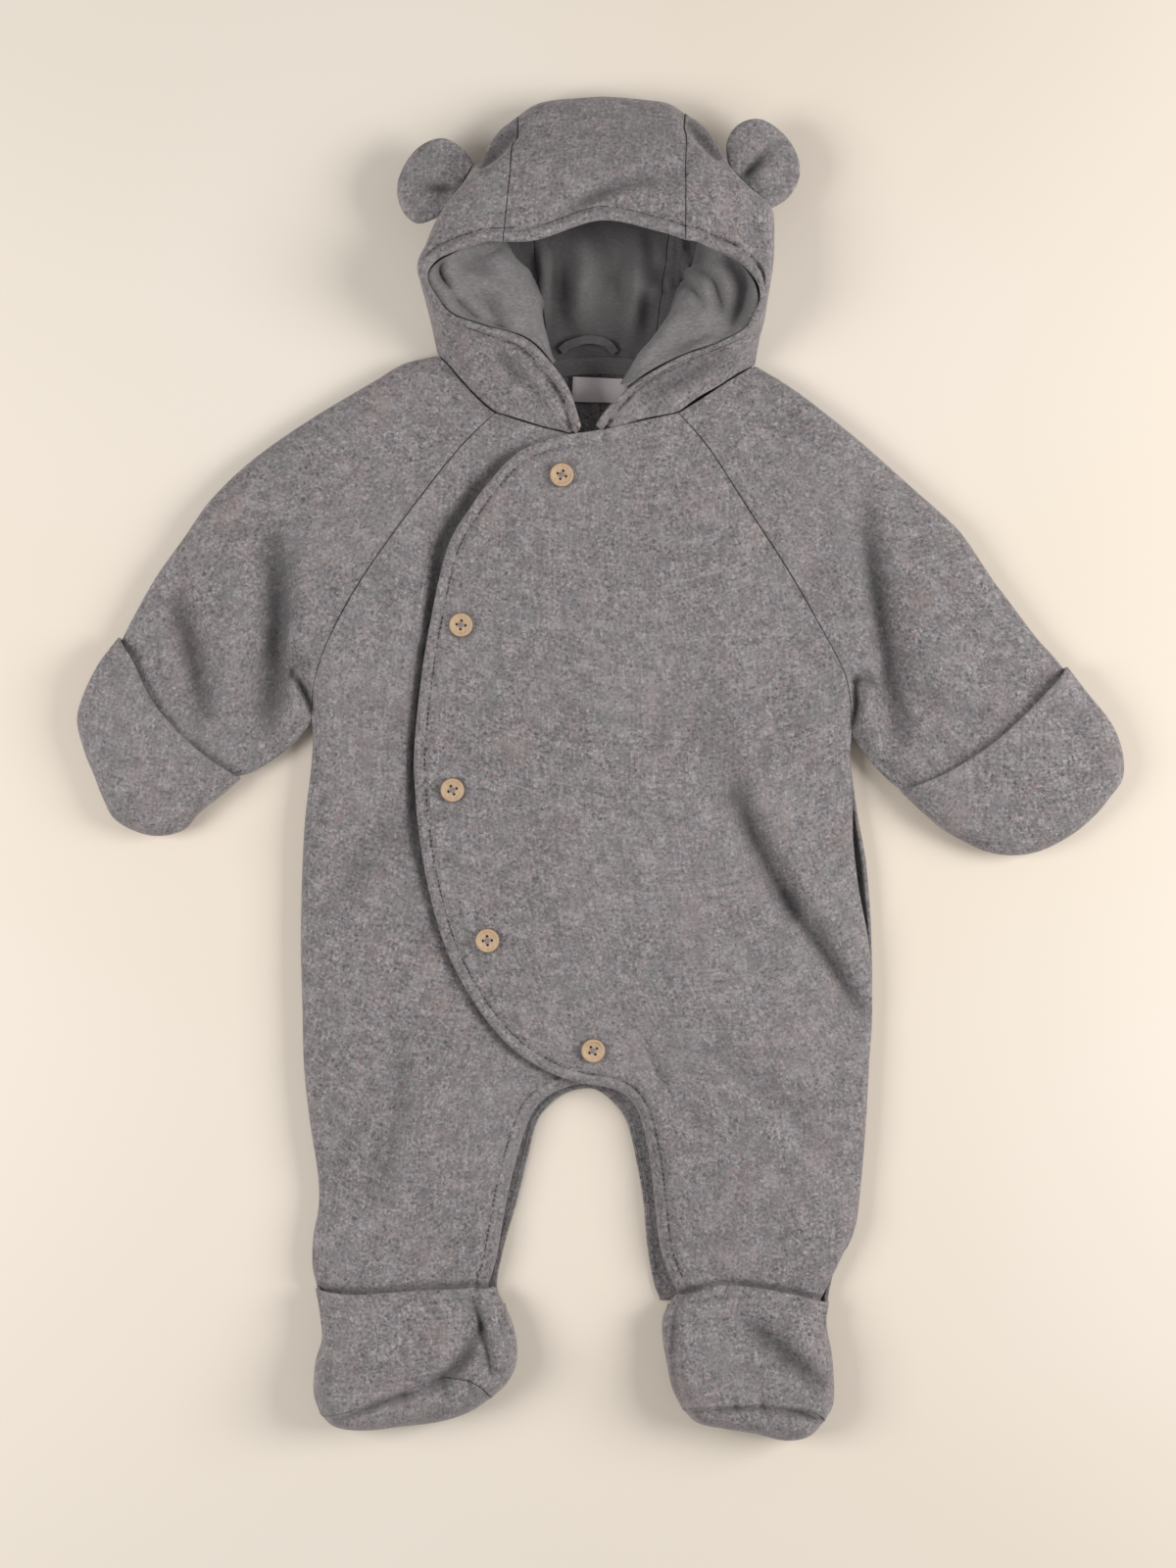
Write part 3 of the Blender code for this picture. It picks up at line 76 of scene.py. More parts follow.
class Socket:
    """An output socket of a material's nodes; arithmetic on it adds Math nodes."""

    def __init__(self, tree, out):
        self.tree, self.out = tree, out

    def node(self, kind, settings=None, sockets=None, output=0):
        """Add a node: its settings, or a ramp's stops, first, then its sockets' values or links."""
        node = self.tree.nodes.new(kind)
        for key, value in (settings or {}).items():
            setattr(node, key, value)
        for key, value in (sockets or {}).items():
            if isinstance(value, Socket):
                self.tree.links.new(value.out, node.inputs[key])
            else:
                node.inputs[key].default_value = value
        return Socket(self.tree, node.outputs[output])

    def maths(self, operation, a, b):
        return self.node("ShaderNodeMath", {"operation": operation}, {0: a, 1: b})

    def __add__(self, other):
        return self.maths("ADD", self, other)

    def __radd__(self, other):
        return self.maths("ADD", other, self)

    def __sub__(self, other):
        return self.maths("SUBTRACT", self, other)

    def __rsub__(self, other):
        return self.maths("SUBTRACT", other, self)

    def __mul__(self, other):
        return self.maths("MULTIPLY", self, other)

    def __rmul__(self, other):
        return self.maths("MULTIPLY", other, self)

    def noise(self, scale, detail=2.0, roughness=0.5, distortion=0.0):
        """Values of 0 to 1 in blobs about 1 / scale metres across."""
        return self.node("ShaderNodeTexNoise", {"noise_dimensions": "2D"},
                         {"Vector": self, "Scale": scale, "Detail": detail,
                          "Roughness": roughness, "Distortion": distortion})

    def noise3(self, scale, detail=2.0, roughness=0.5, distortion=0.0):
        """The same blobs through the piece's whole space."""
        return self.node("ShaderNodeTexNoise", None,
                         {"Vector": self, "Scale": scale, "Detail": detail,
                          "Roughness": roughness, "Distortion": distortion})

    def stretched(self, across, along, turn=0.0):
        """This position scaled across and along, after a turn in degrees."""
        return self.node("ShaderNodeMapping", None,
                         {"Vector": self, "Rotation": (0, 0, math.radians(turn)),
                          "Scale": (across, along, 1)})

    def step(self, low, high):
        """0 below low, 1 above high, smooth between."""
        return self.node("ShaderNodeMapRange", {"interpolation_type": "SMOOTHSTEP"},
                         {"Value": self, "From Min": low, "From Max": high})

    def tint(self, amount, colour):
        """This colour mixed by the amount toward another one."""
        end = colour if isinstance(colour, Socket) else (*colour, 1)
        return self.node("ShaderNodeMix", {"data_type": "RGBA"}, {0: amount, 6: self, 7: end}, 2)


def finish(name, colour, roughness, coordinates="UV", **sockets):
    """A new Principled material: it, the position that its patterns read, its plain colour."""
    mat = bpy.data.materials.new(name)
    mat.use_nodes = True
    tree = mat.node_tree
    shader = tree.nodes["Principled BSDF"]
    shader.inputs["Roughness"].default_value = roughness
    for key, value in sockets.items():
        shader.inputs[key.replace("_", " ")].default_value = value
    place = Socket(tree, tree.nodes.new("ShaderNodeTexCoord").outputs[coordinates])
    plain = tree.nodes.new("ShaderNodeRGB")
    plain.outputs[0].default_value = (*colour, 1)
    return mat, place, Socket(tree, plain.outputs[0])


def feed(mat, **sockets):
    """Link colours and values to the material's shader, and a height in millimetres to its bump."""
    shader = mat.node_tree.nodes["Principled BSDF"]
    for key, value in sockets.items():
        if key == "height":
            value = value.node("ShaderNodeBump", None, {"Height": value, "Distance": MM})
            key = "Normal"
        mat.node_tree.links.new(value.out, shader.inputs[key.replace("_", " ")])


def link(obj):
    bpy.context.collection.objects.link(obj)
    return obj


table_top, place, cream = finish("cream table top", TABLE, 0.6, "Object")
feed(table_top, Base_Color=cream.tint(place.noise(1.6, 1).step(0.35, 0.7), TABLE_GLOW),
     height=place.noise(300, 3) * 0.02)
mesh = bpy.data.meshes.new("table_top")
mesh.from_pydata([(x * TOP_HALF, y * TOP_HALF, TOP_LEVEL)
                  for x, y in ((-1, -1), (1, -1), (1, 1), (-1, 1))], [], [(0, 1, 2, 3)])
mesh.materials.append(table_top)
link(bpy.data.objects.new("table_top", mesh))

for name, (spot, size, power) in LIGHTS.items():
    lamp = link(bpy.data.objects.new(name, bpy.data.lights.new(name, "AREA")))
    lamp.data.shape = "SQUARE"
    lamp.data.size = size
    lamp.data.energy = power
    lamp.data.color = WINDOW_WHITE
    lamp.location = spot
    away = np.array(spot) - (PHOTO_MIDDLE[0] * MM, PHOTO_MIDDLE[1] * MM, 0)
    lamp.rotation_euler = (math.acos(away[2] / np.linalg.norm(away)), 0,
                           math.atan2(away[1], away[0]) + math.pi / 2)

world = bpy.data.worlds.new("daylight all round")
world.use_nodes = True
world.node_tree.nodes["Background"].inputs["Color"].default_value = DAYLIGHT
world.node_tree.nodes["Background"].inputs["Strength"].default_value = DAYLIGHT_STRENGTH
bpy.context.scene.world = world
bpy.context.scene.view_settings.view_transform = "Standard"

camera = link(bpy.data.objects.new("camera", bpy.data.cameras.new("camera")))
camera.data.lens = LENS
camera.location = (PHOTO_MIDDLE[0] * MM, PHOTO_MIDDLE[1] * MM, CAMERA_HEIGHT * MM)
bpy.context.scene.camera = camera


# ---------------------------------------------------------------- the wool
# Grey melange coating: light, dark, brown and blue-grey hairs felted over a plain weave that
# still shows as faint upright and level lines. The nap is brushed, dull and slightly hairy.

WOOL_GREY = (0.235, 0.218, 0.224)


def blended(colour, grey, rows):
    """The colour after each row is mixed in: a pattern, whether its high or its low values
    count, the range in which they set in, the amount, and a colour or a factor on the grey."""
    for pattern, side, low, high, amount, end in rows:
        share = pattern.step(low, high)
        share = share if side == "high" else 1 - share
        end = end if isinstance(end, tuple) else tuple(c * end for c in grey)
        colour = colour.tint(share * amount, end)
    return colour


def melange(name, grey):
    """Felted wool. Its hairs lie all ways, so they read the piece's own space, unstretched; the
    weave's lines read the cloth's UV map; painted shade, set from how deep a fold is, comes as an
    attribute of the points."""
    mat, place, colour = finish(name, grey, 0.92, Sheen_Weight=0.35, Sheen_Roughness=0.45,
                                Sheen_Tint=(0.8, 0.78, 0.8, 1))
    solid = Socket(place.tree, place.out.node.outputs["Object"])
    painted_shade = place.node("ShaderNodeAttribute", {"attribute_name": "painted_shade"}, output=2)
    hairs = solid.noise3(520, 3, 0.62, 0.5)
    knots = solid.stretched(1, 1, 37).noise3(360, 2, 0.55, 0.4)
    cloud = solid.noise3(120, 3, 0.6)
    patch = solid.stretched(1, 0.7, 61).noise3(42, 2, 0.55)
    drift = solid.stretched(1, 1, 17).noise3(16, 2, 0.5)
    warp = place.stretched(1, 0.05).noise(560, 1, 0.5)
    weft = place.stretched(0.06, 1).noise(520, 1, 0.5)
    colour = blended(colour, grey, [
        (hairs, "high", 0.50, 0.70, 0.9, 2.05), (hairs, "low", 0.32, 0.50, 1, 0.24),
        (knots, "high", 0.54, 0.74, 0.6, (0.33, 0.205, 0.18)),
        (knots, "low", 0.26, 0.46, 0.5, (0.15, 0.175, 0.235)),
        (warp, "low", 0.3, 0.6, 0.34, 0.45), (weft, "high", 0.5, 0.75, 0.26, 1.8),
        (cloud, "low", 0.3, 0.6, 0.42, 0.5), (cloud, "high", 0.5, 0.75, 0.38, 1.6),
        (patch, "high", 0.5, 0.8, 0.34, (0.30, 0.235, 0.225)),
        (patch, "low", 0.22, 0.5, 0.34, (0.185, 0.20, 0.20)),
        # Painted shade: the last row darkens the grey toward 0.22 of itself deep in folds and gaps.
        (drift, "high", 0.35, 0.7, 0.16, 1.4), (painted_shade, "high", 0.0, 1.1, 0.66, 0.22)])
    height = hairs * 0.42 + knots * 0.3 + warp * 0.1 + cloud * 0.35 + place.noise(1500, 2) * 0.12
    feed(mat, Base_Color=colour, height=height)
    return mat


wool = melange("grey melange wool", WOOL_GREY)


# ---------------------------------------------------------------- the back
# One piece from the neck to both heels, cut with the raglan seams at its shoulders. It lies
# flat on the table and turns up at its side seams and at the hems inside the legs.

WALL = 2.4                       # how thick the wool is
SEAM = 0.3                       # the gap between two pieces that are sewn together
SIDE_EDGE = 9.0                  # how high the side seams and the back's leg hems lie
BACK_LEG_EDGE = 2.6
BACK_ROUND = 10.0                # how far in from its edges the back turns up
BACK_MIDDLE = -150.0             # the height that parts its body from its leg
SUB = 8                          # steps from one row of a table of points to the next
MERGE = 50                       # grid points within 1/50 mm of each other are one
RIM_NOSE = 0.5                   # how far a cut edge's half round stands out, of its radius
SLEEVE_TOP_RIGHT = [
    (-100, 253), (-121, 248), (-140, 237), (-180, 213), (-214, 189), (-239, 165), (-256, 141),
    (-273, 117), (-286, 94), (-293, 80), (-298, 66), (-302, 54)]
UNDERARM_RIGHT = [(-245, -19), (-234, -11), (-224, -5), (-213, -2), (-196, 9), (-184, 20)]
ARMPIT_RIGHT = (-178, 28)
SIDE_RIGHT = [
    (-176.5, 21), (-177, 9), (-178, -3), (-182, -39), (-184, -99), (-183, -147), (-182, -183),
    (-178, -219), (-173.5, -248), (-173, -268), (-176, -284), (-177, -300), (-175.5, -311)]
BACK_END_RIGHT = [(-174, -319), (-173, -327), (-172, -346)]
SIDE_LEFT_BACK = [
    (138, -346), (139, -327), (140, -319), (144, -304), (152, -291), (156, -279), (159, -255),
    (162, -219), (164, -183), (166, -147), (165.5, -99), (163, -63), (160.5, -46), (157, -27),
    (154, -5), (152.5, 10)]
ARMPIT_LEFT = (154, 20)
UNDERARM_LEFT = [(159, 13), (170, -1), (182, -12), (199, -22), (214, -34), (227, -41)]
SLEEVE_TOP_LEFT = [
    (296, 38), (290, 49), (284, 60), (276, 70), (266, 81), (248, 105), (239, 117), (223, 141),
    (212, 153), (185, 177), (158, 201), (128, 225), (111, 237), (94, 247)]
CROTCH_BACK = [
    (-60, -346), (-62, -327), (-64, -315), (-59, -291), (-52, -267), (-46, -243), (-40, -219),
    (-33, -208), (-22, -199.5), (-9, -196.5), (-1, -198.5), (8, -206), (16, -218), (22, -243),
    (26, -267), (28, -291), (32, -315), (36, -327), (38, -346)]
RAGLAN_BACK_RIGHT = [(-74, 232), (-90, 205), (-115, 165), (-140, 120), (-162, 75), (-174, 45)]
RAGLAN_BACK_LEFT = [(70, 229), (84, 200), (105, 162), (125, 120), (143, 75), (151, 42)]
NECK_BACK = [(-74, 232), (-50, 239), (-25, 243), (0, 244), (25, 242.5), (50, 237), (70, 229)]
SOLE_START = -328.0              # where the soles begin, and the back ends just above it
BACK_END = SOLE_START + 0.7


def unit(vectors):
    """Vectors scaled to length 1."""
    return vectors / np.maximum(np.linalg.norm(vectors, axis=-1, keepdims=True), 1e-9)


def spline(rows):
    """A smooth curve through the rows: Catmull-Rom, SUB steps from each row to the next."""
    pts = np.array(rows, float)
    ext = np.vstack([2 * pts[0] - pts[1], pts, 2 * pts[-1] - pts[-2]])
    a, b, c, d = (ext[k:len(ext) - 3 + k, None] for k in range(4))
    t = np.linspace(0, 1, SUB, endpoint=False)[None, :, None]
    out = 0.5 * (2 * b + (c - a) * t + (2 * a - 5 * b + 4 * c - d) * t ** 2
                 + (3 * b - a - 3 * c + d) * t ** 3)
    return np.vstack([out.reshape(-1, pts.shape[1]), pts[-1:]])


def lengths(line):
    """The length along a line up to each of its points."""
    return np.concatenate([[0], np.cumsum(np.linalg.norm(np.diff(line, axis=0), axis=1))])


def along(line, fractions):
    """Points at fractions of a line's length."""
    total = lengths(line)
    return np.column_stack([np.interp(np.asarray(fractions) * total[-1], total, col)
                            for col in line.T])


def at_height(line, y):
    """Points of a line that runs steadily down the garment, at the given y."""
    order = np.argsort(line[:, 1])
    return np.column_stack([np.interp(y, line[order, 1], line[order, 0]), y])


def cut(line, top, bottom):
    """The stretch of a side line between two heights, from the top down."""
    inside = line[(line[:, 1] < top) & (line[:, 1] > bottom)]
    inside = inside[np.argsort(-inside[:, 1])]
    return np.vstack([at_height(line, [top]), inside, at_height(line, [bottom])])


def fan(outer, inner, counts):
    """Both sides' stretches, split evenly into the same counts of points."""
    return [np.vstack([along(line, np.linspace(0, 1, n + 1))[:-1]
                       for line, n in zip(side, counts)] + [side[-1][-1:]])
            for side in (outer, inner)]


def beside(p, line):
    """Points' distance to a line, + on its left, their length along it and the way to it."""
    (ax, ay), (bx, by) = line[:-1].T, np.diff(line, axis=0).T
    length = np.maximum(np.hypot(bx, by), 1e-9)
    start = np.concatenate([[0], np.cumsum(length)])
    near, far, way = np.empty(len(p)), np.empty(len(p)), np.empty((len(p), 2))
    for part in np.array_split(np.arange(len(p)), len(p) // 3000 + 1):
        x, y = p[part, :1] - ax, p[part, 1:] - ay
        t = np.clip((x * bx + y * by) / length ** 2, 0, 1)
        x -= t * bx
        y -= t * by
        k = (x * x + y * y).argmin(1)
        row = np.arange(len(k))
        x, y, bu, bv = x[row, k], y[row, k], bx[k] / length[k], by[k] / length[k]
        d = np.hypot(x, y)
        side = np.where(y * bu - x * bv >= 0, 1.0, -1.0)
        near[part] = d * side
        far[part] = start[k] + t[row, k] * length[k]
        scale = side / np.maximum(d, 1e-9)
        way[part, 0] = np.where(d < 0.05, -bv, x * scale)
        way[part, 1] = np.where(d < 0.05, bu, y * scale)
    return near, far, way


def nearest(p, edges, shift=0.0):
    """Distance in from the nearest edge line, the direction in from it, and its height."""
    best, inward, height = np.full(len(p), 1e9), np.zeros((len(p), 2)), np.zeros(len(p))
    for line, edge_z in edges:
        d, _, way = beside(p, line)
        d = np.abs(d)
        nearer = d < best
        best = np.where(nearer, d, best)
        inward = np.where(nearer[:, None], way, inward)
        height = np.where(nearer, edge_z + shift, height)
    return best, inward, height


def bend_over(d, radius):
    """A quarter ellipse from 0 at the edge to 1 at the radius, and its slope."""
    q = np.clip(d / radius, 1e-4, 1)
    bend = np.sqrt(1 - (1 - q) ** 2)
    return bend, (1 - q) / bend / radius


def smooth_step(t):
    t = np.clip(t, 0, 1)
    return t * t * (3 - 2 * t)


def under(p, shift=-SEAM / 2, edges=None, radius=BACK_ROUND):
    """Underside: flat on the table, turned up a quarter ellipse at its edges; and normals."""
    d, inward, edge = nearest(p, edges or BACK_EDGES, shift)
    bend, slope = bend_over(d, radius)
    normal = np.column_stack([-inward * (edge * slope)[:, None], -np.ones(len(p))])
    return np.column_stack([p, edge * (1 - bend)]), unit(normal)


def shaped(plan, surface, **kw):
    """A plan grid raised onto a surface: points and normals as grids."""
    pts, nrm = surface(plan.reshape(-1, 2), **kw)
    return pts.reshape(*plan.shape[:2], 3), nrm.reshape(*plan.shape[:2], 3)


def panel(left, right, across):
    """Plan points between two side lines with the same number of rows."""
    return left[:, None] * (1 - across[:, None]) + right[:, None] * across[:, None]


def step_in(line, toward, distance):
    """A seam line moved square to itself by a distance, to the side of the given points."""
    tangent = np.gradient(line, axis=0)
    square = unit(np.column_stack([-tangent[:, 1], tangent[:, 0]]))
    side = np.sign((square * (toward - line)).sum(1).sum())
    return line + square * side * distance


def eased(count, ends=0.35):
    """Fractions from 0 to 1 that lie closer together toward both ends."""
    t = np.linspace(0, 1, count)
    return t * ends + (1 - ends) * (1 - np.cos(t * math.pi)) / 2


def flow(grid):
    """The cloth's own coordinates of a grid in metres: lengths across and down, from its middle."""
    u = np.cumsum(np.linalg.norm(np.diff(grid, axis=1, prepend=grid[:, :1]), axis=2), axis=1)
    v = np.cumsum(np.linalg.norm(np.diff(grid, axis=0, prepend=grid[:1]), axis=2), axis=0)
    u -= u[:, u.shape[1] // 2, None]
    return np.stack([u, -v], axis=2) * MM


def cells(index):
    """The four corners of every cell of a grid, in order round the cell."""
    return np.stack([index[:-1, :-1], index[:-1, 1:], index[1:, 1:], index[1:, :-1]], axis=2)


def put(name, points, faces, uv, mat, *nodes, slot="wool"):
    """A mesh object from points in millimetres and lists of faces, riding on the body."""
    mesh = bpy.data.meshes.new(name)
    faces = faces if isinstance(faces, list) else faces.tolist()
    mesh.from_pydata((points * MM).tolist(), [], faces)
    mesh.uv_layers.new(name="cloth").data.foreach_set("uv", uv.astype(np.float32).ravel())
    mesh.materials.append(mat)
    mesh.shade_smooth()
    obj = link(bpy.data.objects.new(name, mesh))
    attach(obj, "root")
    if nodes:
        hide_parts(*nodes)
    return obj


def cloth(name, patches, thick, mat, *nodes, slot="wool", grain=0.0):
    """A closed wall of cloth from grids of outer points and normals, (points, normals, closed).

    The inner face lies a thickness in along the normals; shared points are merged, and every
    open edge is closed by a half round as wide as the cloth is thick.
    """
    points, normals, quads, uvs, start = [], [], [], [], 0
    for outer, normal, closed in patches:
        rows, cols = outer.shape[:2]
        index = np.arange(rows * cols).reshape(rows, cols) + start
        ring = np.concatenate([outer, outer[:, :1]], axis=1) if closed else outer
        index = np.column_stack([index, index[:, 0]]) if closed else index
        turn, cos, sin = flow(ring), math.cos(grain), math.sin(grain)
        turn = np.stack([turn[..., 0] * cos - turn[..., 1] * sin,
                         turn[..., 0] * sin + turn[..., 1] * cos], axis=2)
        turn = turn + 0.37 * start ** 0.5 * MM       # each grid's pattern starts elsewhere
        quad, uv = cells(index).reshape(-1, 4), cells(turn).reshape(-1, 4, 2)
        flat, bent = outer.reshape(-1, 3), normal.reshape(-1, 3)
        q = quad - start
        way = np.cross(flat[q[:, 2]] - flat[q[:, 0]], flat[q[:, 3]] - flat[q[:, 1]])
        if (way * bent[q[:, 0]]).sum() < 0:
            quad, uv = quad[:, ::-1], uv[:, ::-1]
        points.append(flat)
        normals.append(bent)
        quads.append(quad)
        uvs.append(uv)
        start += rows * cols
    points, normals = np.vstack(points), np.vstack(normals)
    quads, uvs = np.vstack(quads), np.vstack(uvs)
    _, first, back = np.unique(np.round(points * MERGE), axis=0, return_index=True,
                               return_inverse=True)
    points, normals, quads = points[first], normals[first], back.reshape(-1)[quads]
    count = len(points)

    tail, head = quads.ravel(), np.roll(quads, -1, axis=1).ravel()
    free = ~np.isin(tail * count + head, head * count + tail)
    a, b = tail[free], head[free]
    edge_uv = uvs.reshape(-1, 2)[free]
    away = unit(np.cross(points[b] - points[a], normals[a] + normals[b]))
    out = np.zeros((count, 3))
    np.add.at(out, a, away)
    np.add.at(out, b, away)
    ids = np.unique(np.concatenate([a, b]))
    out = unit(out[ids])
    inner = points - normals * thick
    radius = thick / 2
    angles = np.linspace(0, math.pi, 6)[1:-1]
    nose = radius * RIM_NOSE
    rim = [points[ids] + out * nose * (math.sin(t) - 1) - normals[ids] * radius * (1 - math.cos(t))
           for t in angles]
    middle = points[ids].copy()
    points[ids] = middle - out * nose * 0.9
    inner[ids] = middle - out * nose * 0.9 - normals[ids] * thick
    place = np.full(count, -1)
    place[ids] = np.arange(len(ids))
    levels = [ids] + [2 * count + k * len(ids) + np.arange(len(ids))
                      for k in range(len(angles))] + [ids + count]
    ka, kb = place[a], place[b]
    rims = np.vstack([np.column_stack([up[kb], up[ka], low[ka], low[kb]])
                      for up, low in zip(levels[:-1], levels[1:])])
    rim_uv = np.tile(edge_uv[None, :, None], (len(levels) - 1, 1, 4, 1))
    rim_uv = rim_uv + np.array([[0.001, 0], [0, 0], [0, 0.001], [0.001, 0.001]])
    faces = np.vstack([quads, quads[:, ::-1] + count, rims])
    uv = np.concatenate([uvs, uvs[:, ::-1], rim_uv.reshape(-1, 4, 2)])
    return put(name, np.vstack([points, inner] + rim), faces, uv, mat, *nodes, slot=slot)


right_back_line = spline(UNDERARM_RIGHT + [ARMPIT_RIGHT] + SIDE_RIGHT + BACK_END_RIGHT)
left_back_line = spline(SIDE_LEFT_BACK + [ARMPIT_LEFT] + UNDERARM_LEFT)
pit_right, pit_left_back = len(UNDERARM_RIGHT) * SUB, len(SIDE_LEFT_BACK) * SUB
sleeve_top_right, sleeve_top_left = spline(SLEEVE_TOP_RIGHT), spline(SLEEVE_TOP_LEFT)
crotch_back = spline(CROTCH_BACK)
BACK_EDGES = [(sleeve_top_right, SIDE_EDGE), (right_back_line, SIDE_EDGE),
              (crotch_back, BACK_LEG_EDGE), (left_back_line, SIDE_EDGE),
              (sleeve_top_left, SIDE_EDGE)]
raglan_back_right = spline(RAGLAN_BACK_RIGHT + [ARMPIT_RIGHT])
raglan_back_left = spline(RAGLAN_BACK_LEFT + [ARMPIT_LEFT])


def back_half(seam, side, leg, neck, apex):
    """Plan grid of half the back, from the raglan and side seam in to the middle and the leg."""
    pit = seam[-1, 1]
    seam = step_in(seam, np.array([0.0, 100.0]), SEAM / 2)
    centre = np.array([(0.0, 244.0), (apex[0] * 0.5, pit), apex])
    outer = [seam, cut(side, pit - 0.8, BACK_MIDDLE), cut(side, BACK_MIDDLE, BACK_END)]
    inner = [centre[:2], centre[1:], leg[leg[:, 1] > BACK_END]]
    left, right = fan(outer, inner, (56, 60, 84))
    across = eased(48)
    plan = panel(left, right, across)
    fade = np.clip(1 - np.arange(len(plan)) / 8, 0, 1)[:, None, None] ** 2
    return plan + (along(neck, across) - plan[0]) * fade


split = 9 * SUB                  # the top of the arch between the legs
neck = spline(NECK_BACK)
half = (len(neck) - 1) // 2
apex = crotch_back[split]
back_plans = [
    back_half(raglan_back_right, right_back_line[pit_right:], crotch_back[:split + 1][::-1],
              neck[:half + 1], apex),
    back_half(raglan_back_left, left_back_line[:pit_left_back + 1], crotch_back[split:],
              neck[half:][::-1], apex)]
back = cloth("back_wool", [(*shaped(plan, under), False) for plan in back_plans], WALL, wool,
             "back")


# ---------------------------------------------------------------- the two fronts
# Each front runs from the neck to one foot. The wearer's left front laps over the right one in a
# curve from the chin to the crotch; its edge is turned under and top-stitched, as are the hems
# inside the legs. The filled cloth stands 16 to 20 mm high, with folds at the hip and thigh.

LAYER = 3.6                      # how far a piece lifts the one that lies over it
FRONT_LEG_EDGE = 6.6             # how high the hems inside the legs lie
SIDE_ROUND = 17.0                # how far in from its edges the front rounds down
LOFT = 16.0                      # how high it stands beyond that, and how much more inside
CROWN = 4.5
CROWN_REACH = 60.0
FRONT_STRETCHES = (-172, -242, -346)         # where its outer side is parted: hip, knee, end
LEG_END_RIGHT = [(-171, -320), (-168, -331), (-167, -346)]
SIDE_LEFT_FRONT = [
    (131, -346), (133, -333), (136, -322), (142, -310), (150, -293), (156, -279), (159, -255),
    (162, -219), (164, -183), (166, -147), (164, -108), (158, -75), (154.5, -46), (154, -20),
    (153, -3), (152.5, 10)]
CROTCH_FRONT = [
    (-72, -346), (-71.5, -331), (-69, -316), (-64, -299), (-59, -270), (-53.5, -245), (-46, -220),
    (-39.5, -207), (-29, -198.5), (-14, -193.5), (0, -194), (10.5, -197), (18.5, -203), (25, -217),
    (30, -242), (33, -268), (36.5, -295), (44, -315), (50, -330), (52, -346)]
RAGLAN_RIGHT = [
    (-65, 217), (-86, 196), (-103, 175), (-127, 143), (-151, 107), (-169, 72), (-176, 48)]
RAGLAN_LEFT = [(47, 217), (65, 196), (87, 162), (111, 125), (132, 89), (148, 59), (152, 42)]
OVERLAP = [
    (-5, 205), (-29, 201), (-50.5, 192), (-66, 177), (-79, 159.5), (-93.5, 134), (-104, 88),
    (-110, 50), (-113.5, 14), (-113.5, -9), (-110, -45), (-103, -81), (-94, -110), (-82, -134),
    (-68, -155), (-52, -172), (-31, -185), (-13, -191.8)]
HIDDEN_EDGE = [
    (2, 203), (12, 199), (26, 189), (38, 173), (48, 155), (58, 130), (68, 86), (72, 50),
    (73, 14), (73, -9), (70, -45), (63, -81), (53, -110), (42, -134), (30, -155), (20, -172),
    (11, -184), (4, -191)]
NECK_RIGHT = [(2, 203), (-15, 203.5), (-31, 206.5), (-47, 211), (-65, 217)]
NECK_LEFT = [(-5, 205), (12, 208.5), (25, 211.5), (47, 217)]

# Swells of the filled cloth: x, y, reach across, reach along, height
SWELLS = [
    (-5, -40, 110, 150, 4.0), (-195, 115, 60, 55, 5.0), (185, 110, 60, 55, 5.0),
    (-262, 30, 35, 35, 3.0), (245, 10, 40, 35, 3.0), (-122, -262, 45, 60, 3.0),
    (100, -262, 45, 60, 3.0)]

# Folds, troughs (+) and ridges (-): start, middle, end x and y, half width, depth
FOLDS = [
    (78, -8, 99, -53, 122, -92, 8.5, 10), (108, -72, 140, -118, 164, -158, 6, 8.5),
    (96, -20, 112, -56, 132, -86, 9, -3.0),
    (50, 58, 68, 22, 86, -22, 18, 4.0), (118, -40, 138, -78, 158, -112, 12, -2.5),
    (-201, 150, -197, 92, -206, 16, 10, 12.5), (-172, 120, -176, 92, -181, 68, 9, -3.0),
    (-262, 112, -248, 69, -241, 24, 8.5, 9.5), (-226, 120, -222, 75, -226, 30, 9, -3.0),
    (-176, 64, -184, 63, -191, 58, 2.6, 5.5), (-189, 60, -181, 48, -175, 32, 3.2, 8.0),
    (-175, 38, -197, 14, -221, 1, 2.2, 3.0), (-186, 88, -186, 76, -182, 66, 6, -3.0),
    (152, 54, 160, 54, 168, 51, 2.6, 5.5), (154, 56, 156, 40, 153, 22, 3.2, 8.0),
    (153, 22, 172, 2, 198, -13, 2.2, 3.0), (168, 76, 166, 66, 162, 58, 6, -3.0),
    (158, 165, 169, 100, 182, 12, 8, 10.5), (196, 140, 199, 90, 204, 40, 12, -3.0),
    (183, 46, 214, 34, 246, 30, 5, 3.2), (190, 18, 214, 8, 236, 4, 5, 2.0),
    (92, 222, 106, 212, 122, 200, 12, 3.0), (-172, 226, -196, 196, -214, 160, 12, 2.5),
    (-122, -24, -145, -56, -172, -88, 12, 4.5), (-150, -8, -166, -38, -176, -70, 10, -2.0),
    (-128, -155, -124, -210, -148, -270, 8, 5.0), (-158, -200, -160, -235, -172, -262, 7, 2.5),
    (25, -163, 33, -182, 42, -200, 3.5, 3.2), (4, -121, 26, -119, 48, -110, 6, 2.0),
    (46, -166, 92, -190, 156, -256, 9, 4.0), (60, -200, 100, -222, 150, -280, 12, -2.5),
    (50, -295, 78, -291, 114, -286, 6, 2.5), (-100, -300, -84, -286, -66, -262, 7, 2.2),
    (-100, 250, -79, 232, -58, 208, 4, 3.5), (60, -60, 76, -96, 100, -132, 8, 2.2),
    (-40, 90, -30, 40, -34, -20, 16, 1.4), (22, 120, 34, 60, 24, 0, 14, 1.6)]

